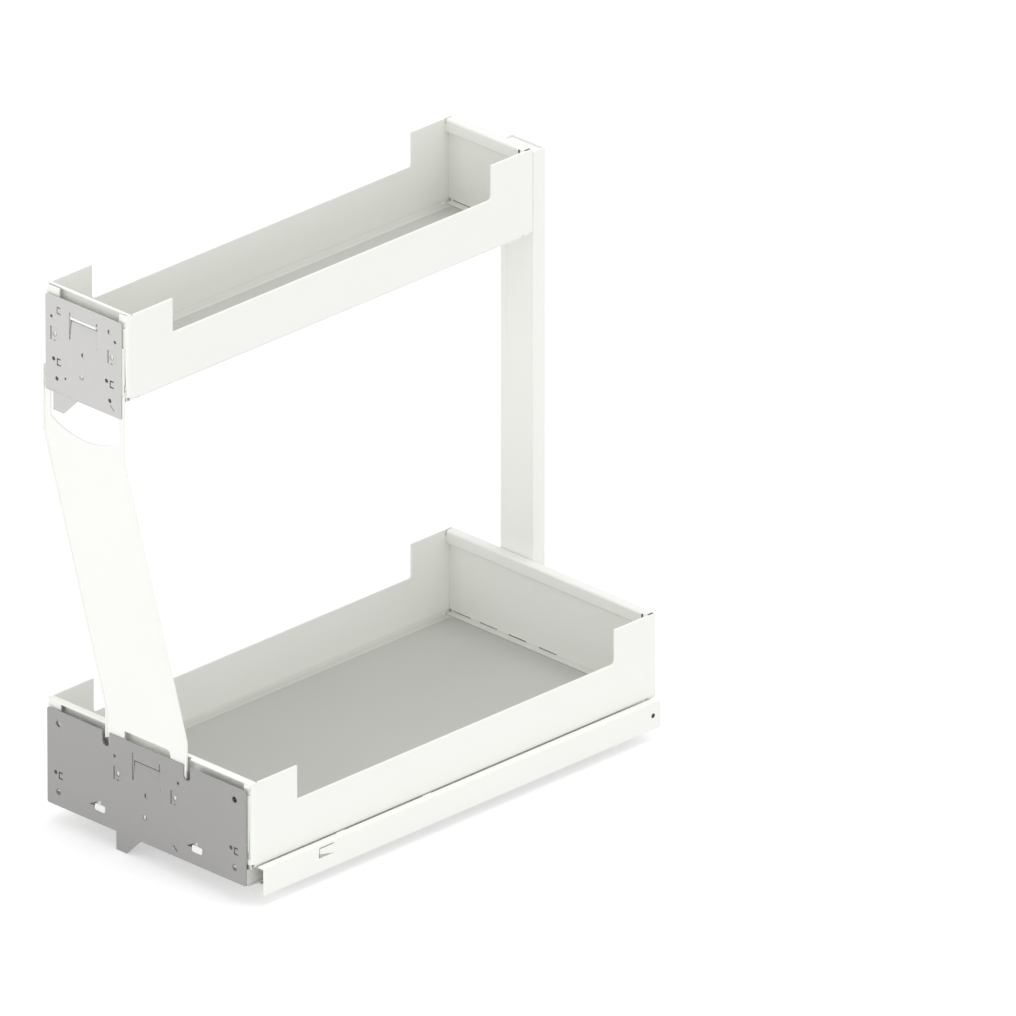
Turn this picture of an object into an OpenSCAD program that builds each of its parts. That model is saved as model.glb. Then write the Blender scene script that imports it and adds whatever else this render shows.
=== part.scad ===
// Pull-out organizer for a 300 mm base cabinet: two open sheet-steel trays, one above the
// other, joined by a cranked front arm and a rear post, on a pair of full-extension ball
// runners. The base frame is screwed to the cabinet's floor and right-hand side.
// X is the width (right is +), Y the depth (the front is -Y), Z up from the cabinet floor.
// The origin is the middle of the base frame's four floor screws, on its underside.

/* [Trays] */
// Outside depth of both trays, front to back
tray_l = 500; // [420:5:560]
// Outside width of the lower tray
lower_w = 256; // [220:1:320]
// Outside width of the upper tray
upper_w = 102.4; // [96:0.1:120]
// Height from the lower tray's underside to the upper tray's underside
tray_pitch = 400.5; // [320:0.5:460]
// Height of the trays' long sides, underside to top edge
side_h = 50.9; // [40:0.1:60]
// Height of the raised corners, underside to top edge
corner_h = 83.8; // [74:0.1:100]
// Length of the raised corners at the front
front_corner_l = 57; // [40:0.5:80]
// Length of the raised corners at the back
rear_corner_l = 49; // [40:0.5:80]
// Sheet thickness of the tray shells
tray_t = 2; // [1.2:0.1:2.4]
// Outside radius of the shells' bends
tray_bend_r = 5; // [2.6:0.1:6]
// Width of the shells' front flanges, turned in behind the front plates
front_flange_w = 18; // [12:0.5:20]
// Width of the right-hand flanges' top ends, above the plates
flange_top_w = 9.5; // [9.2:0.1:12]
// Height of those top ends' lower edge above the tray's underside
flange_top_z = 74; // [70:0.5:78]
// Radius of the notch corners in the long sides
notch_r = 3; // [1:0.5:6]
// Radius of the round dimples pressed into the front flanges
dimple_r = 3.7; // [2:0.1:5]
// Depth of those dimples
dimple_d = 1; // [0.4:0.1:1.4]
// Distance of those dimples from the tray's outside face
dimple_inset = 5.3; // [4.5:0.1:8]
// Height of the lower dimples above the tray's underside
dimple_low_z = 13.7; // [12:0.1:20]
// Height of the upper dimples above the tray's underside
dimple_high_z = 75.1; // [68:0.1:76]
// Width of the relief cuts through the lower bends
bend_relief_w = 1.6; // [1:0.1:3]
// Height of those relief cuts
bend_relief_h = 3.6; // [2:0.1:4.5]
// Distance of the front relief cuts from the tray's front
bend_relief_front = 14.5; // [10:0.5:30]
// Distance of the rear relief cuts from the tray's back
bend_relief_rear = 8.8; // [6:0.1:30]

/* [End walls] */
// Sheet thickness of the end walls
wall_t = 1.5; // [1:0.1:2]
// Depth of the lower front wall's top rim
front_rim_d = 8.1; // [7:0.1:14]
// Depth of the upper front wall's top rim, which stops short of the arm
upper_rim_d = 3.8; // [3:0.1:7]
// Depth of the relief in the lower front rim, behind the arm
arm_relief_d = 3; // [2:0.1:4]
// Gap at each end of that relief
arm_relief_gap = 1.8; // [1:0.1:3]
// Gap between each end of a front rim and the tray's outside face
rim_end_gap = 0.4; // [0.2:0.1:5]
// Radius of the front rims' corners
rim_r = 2.5; // [1:0.1:4]
// Depth of the rear wall's box rim
rear_rim_d = 10.5; // [8:0.1:14]
// Height of the rear wall's box rim
rear_rim_h = 13.6; // [8:0.1:18]
// How far the rear rim stands out behind the tray
rear_rim_overhang = 4; // [3:0.1:6]
// How far the rear wall lies behind its rim's inner face
rear_wall_step = 4.5; // [1.6:0.1:5]
// Height of the turned-down flange at the back of the rear rim
rear_flange_h = 81; // [30:0.5:81]
// Width of the end walls' foot flanges on the tray floor
foot_w = 6; // [4:0.1:8]
// Length of each slot along the foot of a rear wall
wall_slot_l = 22; // [14:0.5:26]
// Height of those slots
wall_slot_h = 1.6; // [1:0.1:2.4]
// Width of the slots at the ends of a rear rim
rim_slot_w = 1.2; // [0.8:0.1:2]
// Length of those slots
rim_slot_l = 6; // [3:0.5:7]
// How far the rim's front face is cut open below each slot
rim_slot_h = 4; // [2:0.5:8]

/* [Floor mats] */
// Thickness of the grey floor mats
mat_t = 0.8; // [0.6:0.1:2]
// Margin between a mat and the tray's sides
mat_side_margin = 9.4; // [6.2:0.1:12]
// Margin between a mat and the end walls
mat_end_margin = 6.8; // [6.2:0.1:12]
// Corner radius of the mats
mat_r = 5; // [2:0.5:8]

/* [Front plates] */
// Thickness of the grey front plates
plate_t = 1.5; // [1.2:0.1:2]
// Height of the front plates without the prong
plate_h = 92.5; // [86:0.5:100]
// Distance from a plate's end to the tray's outside face
plate_inset = 4; // [3:0.1:5]
// How far a plate hangs below the tray's underside
plate_drop = 15.4; // [12:0.1:16]
// How far the prong hangs below the plate
prong_h = 17.5; // [10:0.5:20]
// Width of the prong's flat end
prong_w = 13; // [8:0.5:18]
// Distance of the prong's straight side from the plate pattern's middle
prong_x = 37.8; // [34:0.1:40]
// Corner radius of the plates
plate_r = 2; // [1:0.5:4]
// Radius of the door fixing holes
door_hole_r = 3; // [2:0.1:3.5]
// Distance of the lower door holes from the plate's ends
door_hole_inset = 14; // [12:0.5:15]
// Height of the lower row of door holes above the plate's lower edge
door_hole_low_z = 14; // [10:0.5:18]
// Height of the upper row of door holes above the plate's lower edge
door_hole_high_z = 80; // [74:0.5:81]
// Sideways distance between the two lower holes of the pattern round the arm
pattern_hole_gap = 66; // [60:0.5:70]
// Radius of those two holes
pattern_low_hole_r = 2; // [1.5:0.1:2.4]
// Radius of the pattern's larger holes
pattern_hole_r = 2.5; // [1.5:0.1:3]
// Height of the hole in the pattern's middle above the plate's lower edge
pattern_mid_z = 46.5; // [40:0.1:48]
// Height of the hole below it
pattern_low_z = 24.7; // [20:0.1:30]
// How far that hole lies beside the pattern's middle
pattern_low_x = 2.3; // [0:0.1:4]
// Sideways distance between the round holes of the two slotted pads
pad_gap = 71.2; // [66:0.1:74]
// Height of those holes above the plate's lower edge
pad_hole_z = 56.2; // [52:0.1:60]
// Length of a pad's long slit
pad_slit_l = 13; // [10:0.1:15]
// Sideways distance of that slit from the pad's hole
pad_slit_x = 4.6; // [4.2:0.1:6]
// Radius of the small holes beside the pads
corner_hole_r = 1.5; // [1:0.1:2]
// Sideways distance between those holes
corner_hole_gap = 79.2; // [74:0.1:82]
// Height of those holes above the plate's lower edge
corner_hole_z = 72.4; // [68:0.1:76]
// Width of the pressed tongue
tongue_w = 32; // [24:0.5:36]
// Height of the pressed tongue
tongue_h = 17.6; // [14:0.1:22]
// Height of the tongue's lower end above the plate's lower edge
tongue_z = 57; // [54:0.5:60]
// Width of the cut above the tongue's free end
tongue_cut_h = 1.9; // [0.4:0.1:2.4]
// Height of the arm's ridge that stands in the upper plate's cut
ridge_h = 2.6; // [1.5:0.1:3]
// Width of the arm's tab on each side of its upper window
ridge_side_w = 6; // [4:0.5:8]
// Width of the slits beside the tongue
slit_w = 1.6; // [1:0.1:2]
// How far the slits run past the tongue's free end
slit_over = 8.4; // [3:0.1:9]
// How far the tongue is pressed back
tongue_set = 1.8; // [0.6:0.1:3]
// Distance of the lower plate's bracket-shaped cuts from its ends
mark_inset = 14.5; // [12:0.1:16]
// Height of the bracket-shaped cuts above the plate's lower edge
mark_z = 30.4; // [24:0.1:36]
// Height of such a cut
mark_l = 7; // [5:0.5:8]
// Length of its two level ends
mark_end_l = 5; // [3:0.5:6]
// Width of those cuts
mark_w = 1.2; // [0.6:0.1:1.4]
// Radius of the round hole beside each of them
mark_hole_r = 2; // [1.4:0.1:2.2]
// Sideways distance of that hole from the bracket-shaped cut
mark_hole_x = 4; // [3.6:0.1:5]
// Radius of the small locating hole beside the pattern's middle
peg_hole_r = 1.2; // [0.8:0.1:1.6]
// Sideways distance of that hole from the pattern's middle
peg_hole_x = 22.3; // [18:0.1:26]
// Height of that hole above the plate's lower edge
peg_hole_z = 17.1; // [14:0.1:20]
// Sideways distance of the tick at the lower edge from the pattern's middle
tick_x = 38; // [36:0.1:39]
// Height of the tick above the plate's lower edge
tick_z = 5; // [3:0.1:7]
// Width of the slots for the height adjusters
cam_slot_w = 12.8; // [10:0.1:14]
// Height of those slots
cam_slot_h = 6.6; // [5:0.1:8]
// Radius of the slots' corners
cam_slot_r = 1.8; // [0.8:0.1:2.4]
// How far the pointed part of those slots reaches sideways
cam_hook_w = 13.5; // [8:0.1:14]
// How far the pointed part of those slots reaches up
cam_hook_h = 6.8; // [5:0.1:8]
// How far the adjusters stand out of the plate
cam_proud = 0.8; // [0.2:0.1:1.5]
// Half the distance between the two adjuster slots
cam_x = 60.6; // [57:0.1:66]
// How far their middle lies beside the plate's middle
cam_shift = 3.2; // [0:0.1:5]
// Height of the adjuster slots above the plate's lower edge
cam_z = 15.9; // [12:0.1:20]
// Width of the open notches that take the arm's flanges
notch_w = 8.8; // [6:0.1:9]
// Depth of those notches below the plate's top edge
notch_d = 14; // [12:0.5:20]

/* [Front arm] */
// Sheet thickness of the arm
arm_t = 1.5; // [1.2:0.1:1.9]
// Width of the arm over its flanges
arm_w = 101.2; // [101:0.1:101.6]
// How far the arm's flanges stand forward of its web
arm_flange_d = 2; // [1.6:0.1:10]
// Height of the lower crank above the lower tray's underside
arm_low_bend_z = 99.1; // [92:0.1:110]
// Height of the upper crank above the lower tray's underside
arm_high_bend_z = 345.4; // [300:0.1:350]
// Height of the flanges' lower ends above the lower plate's lower edge
arm_flange_low_z = 87.4; // [84:0.1:90]
// Height of the flanges' upper ends above the upper plate's lower edge
arm_flange_high_z = 23; // [10:0.5:40]
// Height of the arm's top above the upper plate's lower edge
arm_top_z = 68; // [60:0.5:90]
// How much narrower the arm's top and foot are, each side
arm_step = 2.5; // [1.9:0.1:4]
// Height of the arm's foot above the lower plate's lower edge
arm_foot_z = 10; // [6:0.5:20]
// Width of the hand hole below the upper plate
grip_w = 85; // [60:0.5:88]
// Depth of the hand hole below the upper plate's lower edge, at its middle
grip_d = 36; // [26:0.5:40]
// Depth of the hand hole's straight ends
grip_side_d = 24.5; // [12:0.5:25]
// Width of the cut-out in front of the lower rim
rim_window_w = 57.6; // [40:0.1:62]
// Top of that cut-out above the lower tray's underside
rim_window_z = 84.2; // [82:0.1:90]
// Corner radius of that cut-out
rim_window_r = 4; // [2:0.5:5]

/* [Rear post] */
// Width of the post
post_w = 41; // [32:0.5:46]
// Depth of the post, front face to back
post_d = 15; // [10:0.1:20]
// Sheet thickness of the post
post_t = 1.5; // [1.2:0.1:2]
// Distance of the post's right face from the upper tray's right face
post_inset = 1; // [0.5:0.1:6]
// How far the post stops below the upper tray's raised corners
post_top_drop = 4; // [0:0.1:8]
// Height of the post's foot above the lower tray's underside
post_foot_z = 6; // [4:0.5:20]
// Distance of the post's screws below the trays' raised corners
post_screw_drop = 23.8; // [16:0.1:26]
// Gap between the heads of those screws and the holes that let them in
post_hole_gap = 0.6; // [0.3:0.1:1.5]

/* [Runners] */
// Height of the lower tray's underside above the cabinet floor
runner_h = 23.5; // [22.1:0.1:24]
// Full travel of the trays
travel = 450; // [360:5:460]
// Distance of each runner's middle from the lower tray's outside face
runner_inset = 24; // [22:0.5:40]
// Width of a tray rail over its legs
tray_rail_w = 38; // [36:0.1:40]
// Sheet thickness of the rails
rail_t = 1.5; // [1.4:0.05:1.6]
// Free space between two rails, side to side, where the balls run
race_gap = 2.6; // [2.4:0.05:2.8]
// Free space between two rails' webs
web_gap = 2.7; // [2.4:0.1:2.8]
// Radius of the balls
ball_r = 1.9; // [1.7:0.05:2]
// Running clearance round the balls
ball_gap = 0.06; // [0.04:0.01:0.1]
// Height of the outer balls above the cabinet floor
outer_ball_z = 11.5; // [10:0.1:13]
// Height of the inner balls above the cabinet floor
inner_ball_z = 8; // [7:0.1:9]
// Depth of a tray rail's legs
tray_rail_h = 16.4; // [15:0.1:17]
// Height of a middle rail's legs above the cabinet floor
middle_rail_z = 3.4; // [2.6:0.1:4]
// Width of the lips turned out along the tray rails' lower edges
tray_rail_lip = 2; // [1:0.1:2.2]
// Distance of the middle and cabinet rails' front ends from the tray's front
rail_front_gap = 10; // [8:0.5:16]
// Distance of all the rails' rear ends from the tray's back
rail_rear_gap = 18; // [15:0.5:24]
// Wall of the ball cages
cage_t = 1.2; // [1:0.05:1.3]
// Number of balls in each row of a cage
balls_per_row = 8; // [4:1:12]
// Length of the turned tabs that stop the ball cages
stop_tab_l = 2; // [1.5:0.1:3]

/* [Base frame] */
// Sheet thickness of the base frame
base_t = 1.5; // [1.2:0.1:1.8]
// Distance from the tray's right face to the side strip's outside face
strip_gap = 9.5; // [8:0.1:14]
// Height of the side strip
strip_h = 26.5; // [24:0.1:30]
// Width of the side strip's top lip
strip_lip_w = 7.8; // [4:0.1:8.4]
// Length of the side strip
strip_l = 493; // [400:0.1:540]
// Distance of the strip's front end behind the tray's front
strip_front_gap = 6.5; // [2:0.1:10]
// Distance of the base frame's front edge behind the tray's front
base_front_gap = 22; // [18:0.5:40]
// Distance of the base frame's rear edge from the tray's back
base_rear_gap = 8; // [6:0.5:12]
// Width of the base frame's front cross-member
front_tie_w = 60; // [50:1:90]
// Width of the base frame's rear cross-member
rear_tie_w = 130; // [125:1:150]
// Width of the base frame's webs beside the middle opening, under the runners
rail_web_w = 46; // [44:0.5:50]
// Radius of the floor screws' holes
floor_hole_r = 2.5; // [2:0.1:3]
// Sideways distance between the floor screws
floor_hole_dx = 150; // [130:1:158]
// Front-to-back distance between the floor screws
floor_hole_dy = 408; // [320:1:420]
// Radius of the side screw hole near the strip's rear end
side_hole_r = 2.3; // [1.5:0.1:3]
// Distance of the side screw hole from the strip's rear end
side_hole_inset = 9.5; // [6:0.5:14]
// Height of the side screw hole above the cabinet floor
side_hole_z = 14; // [10:0.5:17]
// Length of the locating tab pressed out of the strip
strip_tab_l = 18.5; // [12:0.5:26]
// Height of the tab's lower edge above the cabinet floor
strip_tab_z = 14; // [10:0.5:16]
// How far the tab's lower edge is opened at its front end
strip_tab_open = 4.2; // [2:0.1:5]
// Distance of the tab from the strip's front end
strip_tab_y = 68; // [40:0.5:120]
// Width of the cuts that free the tab
strip_cut_w = 1; // [0.8:0.1:1.6]
// Bevel of the strip's upper rear corner
strip_bevel = 2; // [1:0.5:8]
// Width of the lip's two guide tabs
guide_tab_w = 9; // [8.5:0.1:9.2]
// Length of the guide tabs
guide_tab_l = 10; // [8:0.5:20]
// Distance of the front guide tab from the strip's front end
guide_tab_y = 97.5; // [92:0.5:140]
// Distance between the two guide tabs
guide_tab_gap = 107; // [80:1:180]

/* [Soft-close damper] */
// Distance of the damper from the middle of the tray
damper_x = 40; // [20:1:70]
// Height of the damper's axis above the cabinet floor
damper_z = 10; // [9:0.1:11.5]
// Outside radius of the damper's cylinder
damper_r = 5.5; // [4.5:0.1:6]
// Length of the damper's cylinder
damper_l = 96; // [85:1:105]
// Wall of the damper's cylinder
damper_wall = 1.4; // [1:0.1:1.6]
// Thickness of the cylinder's end walls
damper_end_t = 4; // [3:0.5:6]
// Stroke of the damper's rod
damper_stroke = 50; // [40:1:60]
// Radius of the damper's rod
rod_r = 1.5; // [1:0.1:2]
// Running clearance of the damper's rod and piston
rod_gap = 0.08; // [0.05:0.01:0.1]
// Length of the piston
piston_l = 8; // [5:0.5:12]
// Length of the rod that shows when the trays are in
rod_out = 4; // [3:0.5:8]
// Radius of the rubber pad on the rod
pad_r = 4; // [3:0.1:5]
// Thickness of the rubber pad
pad_t = 5; // [4:0.5:8]
// Width of the striker bracket below the tray
striker_w = 24; // [16:0.5:30]
// Distance of the damper's rear end from the rails' rear end
damper_rear_gap = 18; // [12:0.5:24]
// Width of the two clips that hold the damper, measured along it
clip_w = 10; // [8:0.5:14]

/* [Fasteners] */
// Radius of the screws that hold plates, post and arm
screw_r = 2; // [1.5:0.1:2.2]
// Radius of those screws' heads
screw_head_r = 3.8; // [3:0.1:4.2]
// Height of those screws' heads
screw_head_h = 2.4; // [1.8:0.1:2.6]
// Radius of the rivets in the rails
rivet_r = 1.6; // [1.5:0.1:1.9]
// Radius of the rivets' heads
rivet_head_r = 3.2; // [2.6:0.1:3.4]
// Height of the rivets' heads
rivet_head_h = 1.2; // [0.8:0.1:1.4]

/* [Hidden] */
$fn = 48;
// Overrun of every cut past the face it leaves
cut = 1;
// Gap round every screw and rivet in its hole
fit_gap = 0.05;
// Gap between parts that stop against each other
stop_gap = 0.3;

// Places along the depth
front_y = -tray_l / 2;
rear_y = tray_l / 2;
rail_rear_y = rear_y - rail_rear_gap;
rail_front_y = front_y + rail_front_gap;
// The arm's web lies against the trays' front, and the plates against the arm's web
arm_y = front_y - arm_t;
plate_y = arm_y - plate_t;
post_y = rear_y + rear_rim_overhang;

// Places across the width; both trays share their left face
lower_x = 0;
upper_x = (upper_w - lower_w) / 2;
right_x = lower_w / 2;
strip_x = right_x + strip_gap;
post_x = upper_x + upper_w / 2 - post_inset - post_w / 2;

// Heights
lower_z = runner_h;
upper_z = runner_h + tray_pitch;
lower_plate_z = lower_z - plate_drop;
upper_plate_z = upper_z - plate_drop;
lower_plate_w = lower_w - 2 * plate_inset;
upper_plate_w = upper_w - 2 * plate_inset;

// Rail sections, from the outside in
tray_rail_half = tray_rail_w / 2;
middle_rail_half = tray_rail_half - rail_t - race_gap;
cabinet_rail_half = middle_rail_half - rail_t - race_gap;
outer_ball_x = middle_rail_half + race_gap / 2;
inner_ball_x = cabinet_rail_half + race_gap / 2;
middle_rail_top = runner_h - rail_t - web_gap;
cabinet_rail_top = middle_rail_top - rail_t - web_gap;
tray_rail_z = runner_h - tray_rail_h;
runner_x = lower_w / 2 - runner_inset;
// Middle of the rails that stay level with each other when the trays are in
rail_mid_y = (rail_front_y + rail_rear_y) / 2;
rail_l = rail_rear_y - rail_front_y;
// A cage is as long as what two rails share when the trays are out, less its stops
cage_l = rail_l - travel / 2 - 2 * stop_tab_l - 2 * cage_t;
cage_mid_y = rail_mid_y;
ball_pitch = cage_l / balls_per_row;

// The damper lies along the rear cross-member
damper_rear_y = rail_rear_y - damper_rear_gap;
damper_front_y = damper_rear_y - damper_l;
pad_y = damper_front_y - rod_out - pad_t;
striker_y = pad_y - stop_gap;
bore_r = damper_r - damper_wall;

// Share of the width at which rows of screws stand
screw_row_shares = [-1, 1];
// Shares of a rail's length at which its rivets stand, from the middle
rivet_row_shares = [-0.42, 0, 0.42];
// Shares of the rear wall's width where its slots start, from the left
wall_slot_shares = [0.02, 0.15, 0.29, 0.44];

// A quarter ring, the section of a bend, in the quarter right of and above its centre
module bend_section(r, t) {
    intersection() {
        difference() {
            circle(r);
            circle(r - t);
        }
        square(r + cut);
    }
}

// A rectangle with round corners
module round_rect(w, h, r) {
    translate([r, 0]) square([w - 2 * r, h]);
    translate([0, r]) square([w, h - 2 * r]);
    for (x = [r, w - r], y = [r, h - r])
        translate([x, y]) circle(r);
}

// Stands an outline drawn in X and Z up, with its front face at y
module upright(y, t) {
    translate([0, y + t, 0]) rotate([90, 0, 0]) linear_extrude(t) children();
}

// Runs an outline drawn in Y and Z along X, starting at x
module along_x(x, l) {
    translate([x, 0, 0]) rotate([90, 0, 90]) linear_extrude(l) children();
}

// A hole along Y, from y on
module hole_y(x, y, z, r, l) {
    translate([x, y, z]) rotate([-90, 0, 0]) cylinder(h = l, r = r);
}

// Tray shell: floor and two sides in one bent sheet, front flanges turned in. It ends at the
// rear wall's back flange.
// x is the tray's middle, w its width, z its underside.
module tray_section(w) {
    half = w / 2;
    translate([-half + tray_bend_r, 0]) square([w - 2 * tray_bend_r, tray_t]);
    for (side = [0, 1]) mirror([side, 0]) {
        translate([half - tray_bend_r, tray_bend_r]) mirror([0, 1])
            bend_section(tray_bend_r, tray_t);
        translate([half - tray_t, tray_bend_r]) square([tray_t, corner_h - tray_bend_r]);
    }
}

module side_notch() {
    notch_y = front_y + front_corner_l;
    notch_l = tray_l - front_corner_l - rear_corner_l;
    notch_top = corner_h + cut;
    translate([notch_y, side_h + notch_r]) square([notch_l, notch_top - side_h - notch_r]);
    translate([notch_y + notch_r, side_h]) square([notch_l - 2 * notch_r, notch_r + cut]);
    for (y = [notch_y + notch_r, notch_y + notch_l - notch_r])
        translate([y, side_h + notch_r]) circle(notch_r);
}

module front_flange(w) {
    half = w / 2;
    difference() {
        union() {
            translate([half - tray_bend_r, front_y + tray_bend_r, tray_bend_r])
                mirror([0, 1, 0]) linear_extrude(corner_h - tray_bend_r)
                    bend_section(tray_bend_r, tray_t);
            translate([half - front_flange_w, front_y, tray_bend_r])
                cube([front_flange_w - tray_bend_r, tray_t, corner_h - tray_bend_r]);
        }
        for (z = [dimple_low_z, dimple_high_z])
            hole_y(half - dimple_inset, front_y - cut, z, dimple_r, dimple_d + cut);
        for (z = plate_screw_zs)
            hole_y(half - plate_screw_inset, front_y - cut, z, screw_r + fit_gap,
                tray_t + 2 * cut);
    }
}

// rim_d is the depth of the front rim that it carries.
module tray_shell(x, w, z, rim_d) {
    translate([x, 0, z]) difference() {
        union() {
            translate([0, post_y - wall_t, 0]) rotate([90, 0, 0])
                linear_extrude(post_y - wall_t - front_y - tray_bend_r) tray_section(w);
            for (side = [0, 1]) mirror([side, 0, 0]) front_flange(w);
        }
        along_x(-w / 2 - cut, w + 2 * cut) {
            side_notch();
            // The sheet is lower where the front rim lies on it
            translate([front_y + front_rim_d - rim_d - stop_gap, corner_h - wall_t])
                square([rim_d + 2 * stop_gap, wall_t + cut]);
        }
        translate([w / 2 - front_flange_w - cut, front_y - cut, flange_top_z])
            cube([front_flange_w - flange_top_w + cut, tray_t + 2 * cut, corner_h]);
        for (side = [0, 1], y = [front_y + bend_relief_front, rear_y - bend_relief_rear])
            mirror([side, 0, 0])
                translate([w / 2 - tray_t - cut, y - bend_relief_w / 2, -cut])
                    cube([tray_t + 2 * cut, bend_relief_w, bend_relief_h + cut]);
    }
}

// Heights of the screws in the front flanges, above the tray's underside
plate_screw_zs = [corner_h * 0.3, corner_h * 0.62];
plate_screw_inset = front_flange_w - screw_head_r;

module lower_tray_shell() {
    color("whitesmoke") difference() {
        tray_shell(lower_x, lower_w, lower_z, front_rim_d);
        for (side = [-1, 1], share = rivet_row_shares)
            translate([side * runner_x, rail_mid_y + share * rail_l, lower_z - cut])
                rivet_hole();
    }
}

module upper_tray_shell() {
    color("whitesmoke") tray_shell(upper_x, upper_w, upper_z, upper_rim_d);
}

// Front wall: folded sheet, with a foot on the floor and a rim turned forward. Its lower
// corners are clear of the shell's bends, and rim_d is its rim's depth.
module front_wall(x, w, z, rim_d) {
    wall_half = w / 2 - tray_t;
    wall_y = front_y + front_rim_d - wall_t;
    rim_half = w / 2 - rim_end_gap;
    bend_gap = tray_bend_r - tray_t;
    translate([x, 0, z]) {
        upright(wall_y, wall_t) {
            translate([-wall_half + bend_gap, tray_t])
                square([2 * (wall_half - bend_gap), bend_gap]);
            translate([-wall_half, tray_bend_r])
                square([2 * wall_half, corner_h - wall_t - tray_bend_r]);
        }
        translate([-wall_half + bend_gap, wall_y, tray_t])
            cube([2 * (wall_half - bend_gap), wall_t + foot_w, mat_t]);
        translate([-rim_half, wall_y + wall_t - rim_d, corner_h - wall_t]) linear_extrude(wall_t)
            round_rect(2 * rim_half, rim_d, min(rim_r, rim_d / 3));
    }
}

module lower_front_wall() {
    relief_half = arm_w / 2 + arm_relief_gap;
    color("whitesmoke") difference() {
        front_wall(lower_x, lower_w, lower_z, front_rim_d);
        translate([lower_x - relief_half, front_y - cut, lower_z + corner_h - 2 * wall_t])
            cube([2 * relief_half, arm_relief_d + cut, 2 * wall_t + cut]);
    }
}

module upper_front_wall() {
    color("whitesmoke") front_wall(upper_x, upper_w, upper_z, upper_rim_d);
}

// Section of the rear wall's sheet, in Y and Z: back flange, box rim, wall and foot.
module rear_wall_section() {
    rim_front_y = post_y - rear_rim_d;
    rear_wall_y = rim_front_y + rear_wall_step;
    rim_low_z = corner_h - rear_rim_h;
    translate([post_y - wall_t, corner_h - rear_flange_h]) square([wall_t, rear_flange_h]);
    translate([rim_front_y, corner_h - wall_t]) square([rear_rim_d, wall_t]);
    translate([rim_front_y, rim_low_z]) square([wall_t, rear_rim_h]);
    translate([rim_front_y, rim_low_z]) square([rear_wall_step + wall_t, wall_t]);
    translate([rear_wall_y, tray_t]) square([wall_t, rim_low_z - tray_t + wall_t]);
    translate([rear_wall_y - foot_w, tray_t]) square([foot_w + wall_t, mat_t]);
}

module rear_wall(x, w, z) {
    wall_half = w / 2 - tray_t;
    rear_wall_y = post_y - rear_rim_d + rear_wall_step;
    slot_z = tray_t + mat_t;
    translate([x, 0, z]) difference() {
        along_x(-wall_half, 2 * wall_half) rear_wall_section();
        // Clear of the floor's bends
        for (side = [0, 1]) mirror([side, 0, 0])
            translate([wall_half - tray_bend_r + tray_t, rear_wall_y - foot_w - cut, 0])
                cube([tray_bend_r, foot_w + wall_t + 2 * cut, tray_bend_r]);
        for (share = wall_slot_shares) {
            slot_x = -wall_half + share * lower_w;
            if (slot_x + wall_slot_l < wall_half)
                translate([slot_x, rear_wall_y - cut, slot_z])
                    cube([wall_slot_l, wall_t + 2 * cut, wall_slot_h]);
        }
        // Slots between the rim's ends and the tray's sides
        for (side = [0, 1]) mirror([side, 0, 0])
            translate([wall_half - rim_slot_w, post_y - rear_rim_d, corner_h]) {
                translate([0, wall_t, -wall_t - cut])
                    cube([rim_slot_w + cut, rim_slot_l, wall_t + 2 * cut]);
                translate([0, -cut, -wall_t - rim_slot_h])
                    cube([rim_slot_w + cut, wall_t + 2 * cut, rim_slot_h]);
            }
        translate([post_x - x, 0, 0]) for (px = post_screw_xs)
            hole_y(px, post_y - wall_t - cut, post_screw_z, screw_r + fit_gap, wall_t + 2 * cut);
    }
}

module lower_rear_wall() {
    color("whitesmoke") rear_wall(lower_x, lower_w, lower_z);
}

module upper_rear_wall() {
    color("whitesmoke") rear_wall(upper_x, upper_w, upper_z);
}

// Floor mat: a thin grey sheet with round corners, loose on the tray's floor.
module floor_mat(x, w, z) {
    wall_inner_y = post_y - rear_rim_d + rear_wall_step;
    mat_w = w - 2 * tray_t - 2 * mat_side_margin;
    mat_front_y = front_y + front_rim_d + mat_end_margin;
    mat_l = wall_inner_y - mat_end_margin - mat_front_y;
    translate([x - mat_w / 2, mat_front_y, z + tray_t])
        linear_extrude(mat_t) round_rect(mat_w, mat_l, mat_r);
}

module lower_floor_mat() {
    color("darkgray") floor_mat(lower_x, lower_w, lower_z);
}

module upper_floor_mat() {
    color("darkgray") floor_mat(upper_x, upper_w, upper_z);
}

// Holes and cuts that both front plates share, in X from the pattern's middle and Z from
// the plate's lower edge. free_h is the width of the cut above the tongue.
module plate_pattern(free_h) {
    for (side = [-1, 1]) {
        translate([side * pattern_hole_gap / 2, door_hole_low_z]) circle(pattern_low_hole_r);
        translate([side * corner_hole_gap / 2, corner_hole_z]) circle(corner_hole_r);
        // A slotted pad: a round hole between a long slit and a short one
        translate([side * pad_gap / 2, pad_hole_z]) {
            circle(pattern_hole_r);
            translate([-pad_slit_x - mark_w / 2, -pad_slit_l / 2]) square([mark_w, pad_slit_l]);
            translate([-mark_w, -pad_slit_l / 2]) square([pattern_hole_r, mark_w]);
        }
        // The tongue's two side slits
        translate([side * (tongue_w + slit_w) / 2 - slit_w / 2, tongue_z])
            square([slit_w, tongue_h + slit_over]);
    }
    translate([0, pattern_mid_z]) circle(pattern_hole_r);
    translate([-pattern_low_x, pattern_low_z]) circle(pattern_hole_r);
    translate([-tongue_w / 2 - slit_w / 2, tongue_z])
        square([tongue_w + slit_w, tongue_h + free_h]);
    translate([-peg_hole_x, peg_hole_z]) circle(peg_hole_r);
    translate([tick_x, tick_z]) rotate(45) square([mark_w, mark_l]);
}

// A fixing point for a screw with a locating lug: a round hole beside a bracket-shaped cut
module bracket_mark() {
    translate([-mark_hole_x, mark_l / 4]) circle(mark_hole_r);
    translate([0, -mark_l / 2]) square([mark_w, mark_l]);
    for (z = [-mark_l / 2, mark_l / 2 - mark_w]) translate([0, z]) square([mark_end_l, mark_w]);
}

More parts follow.
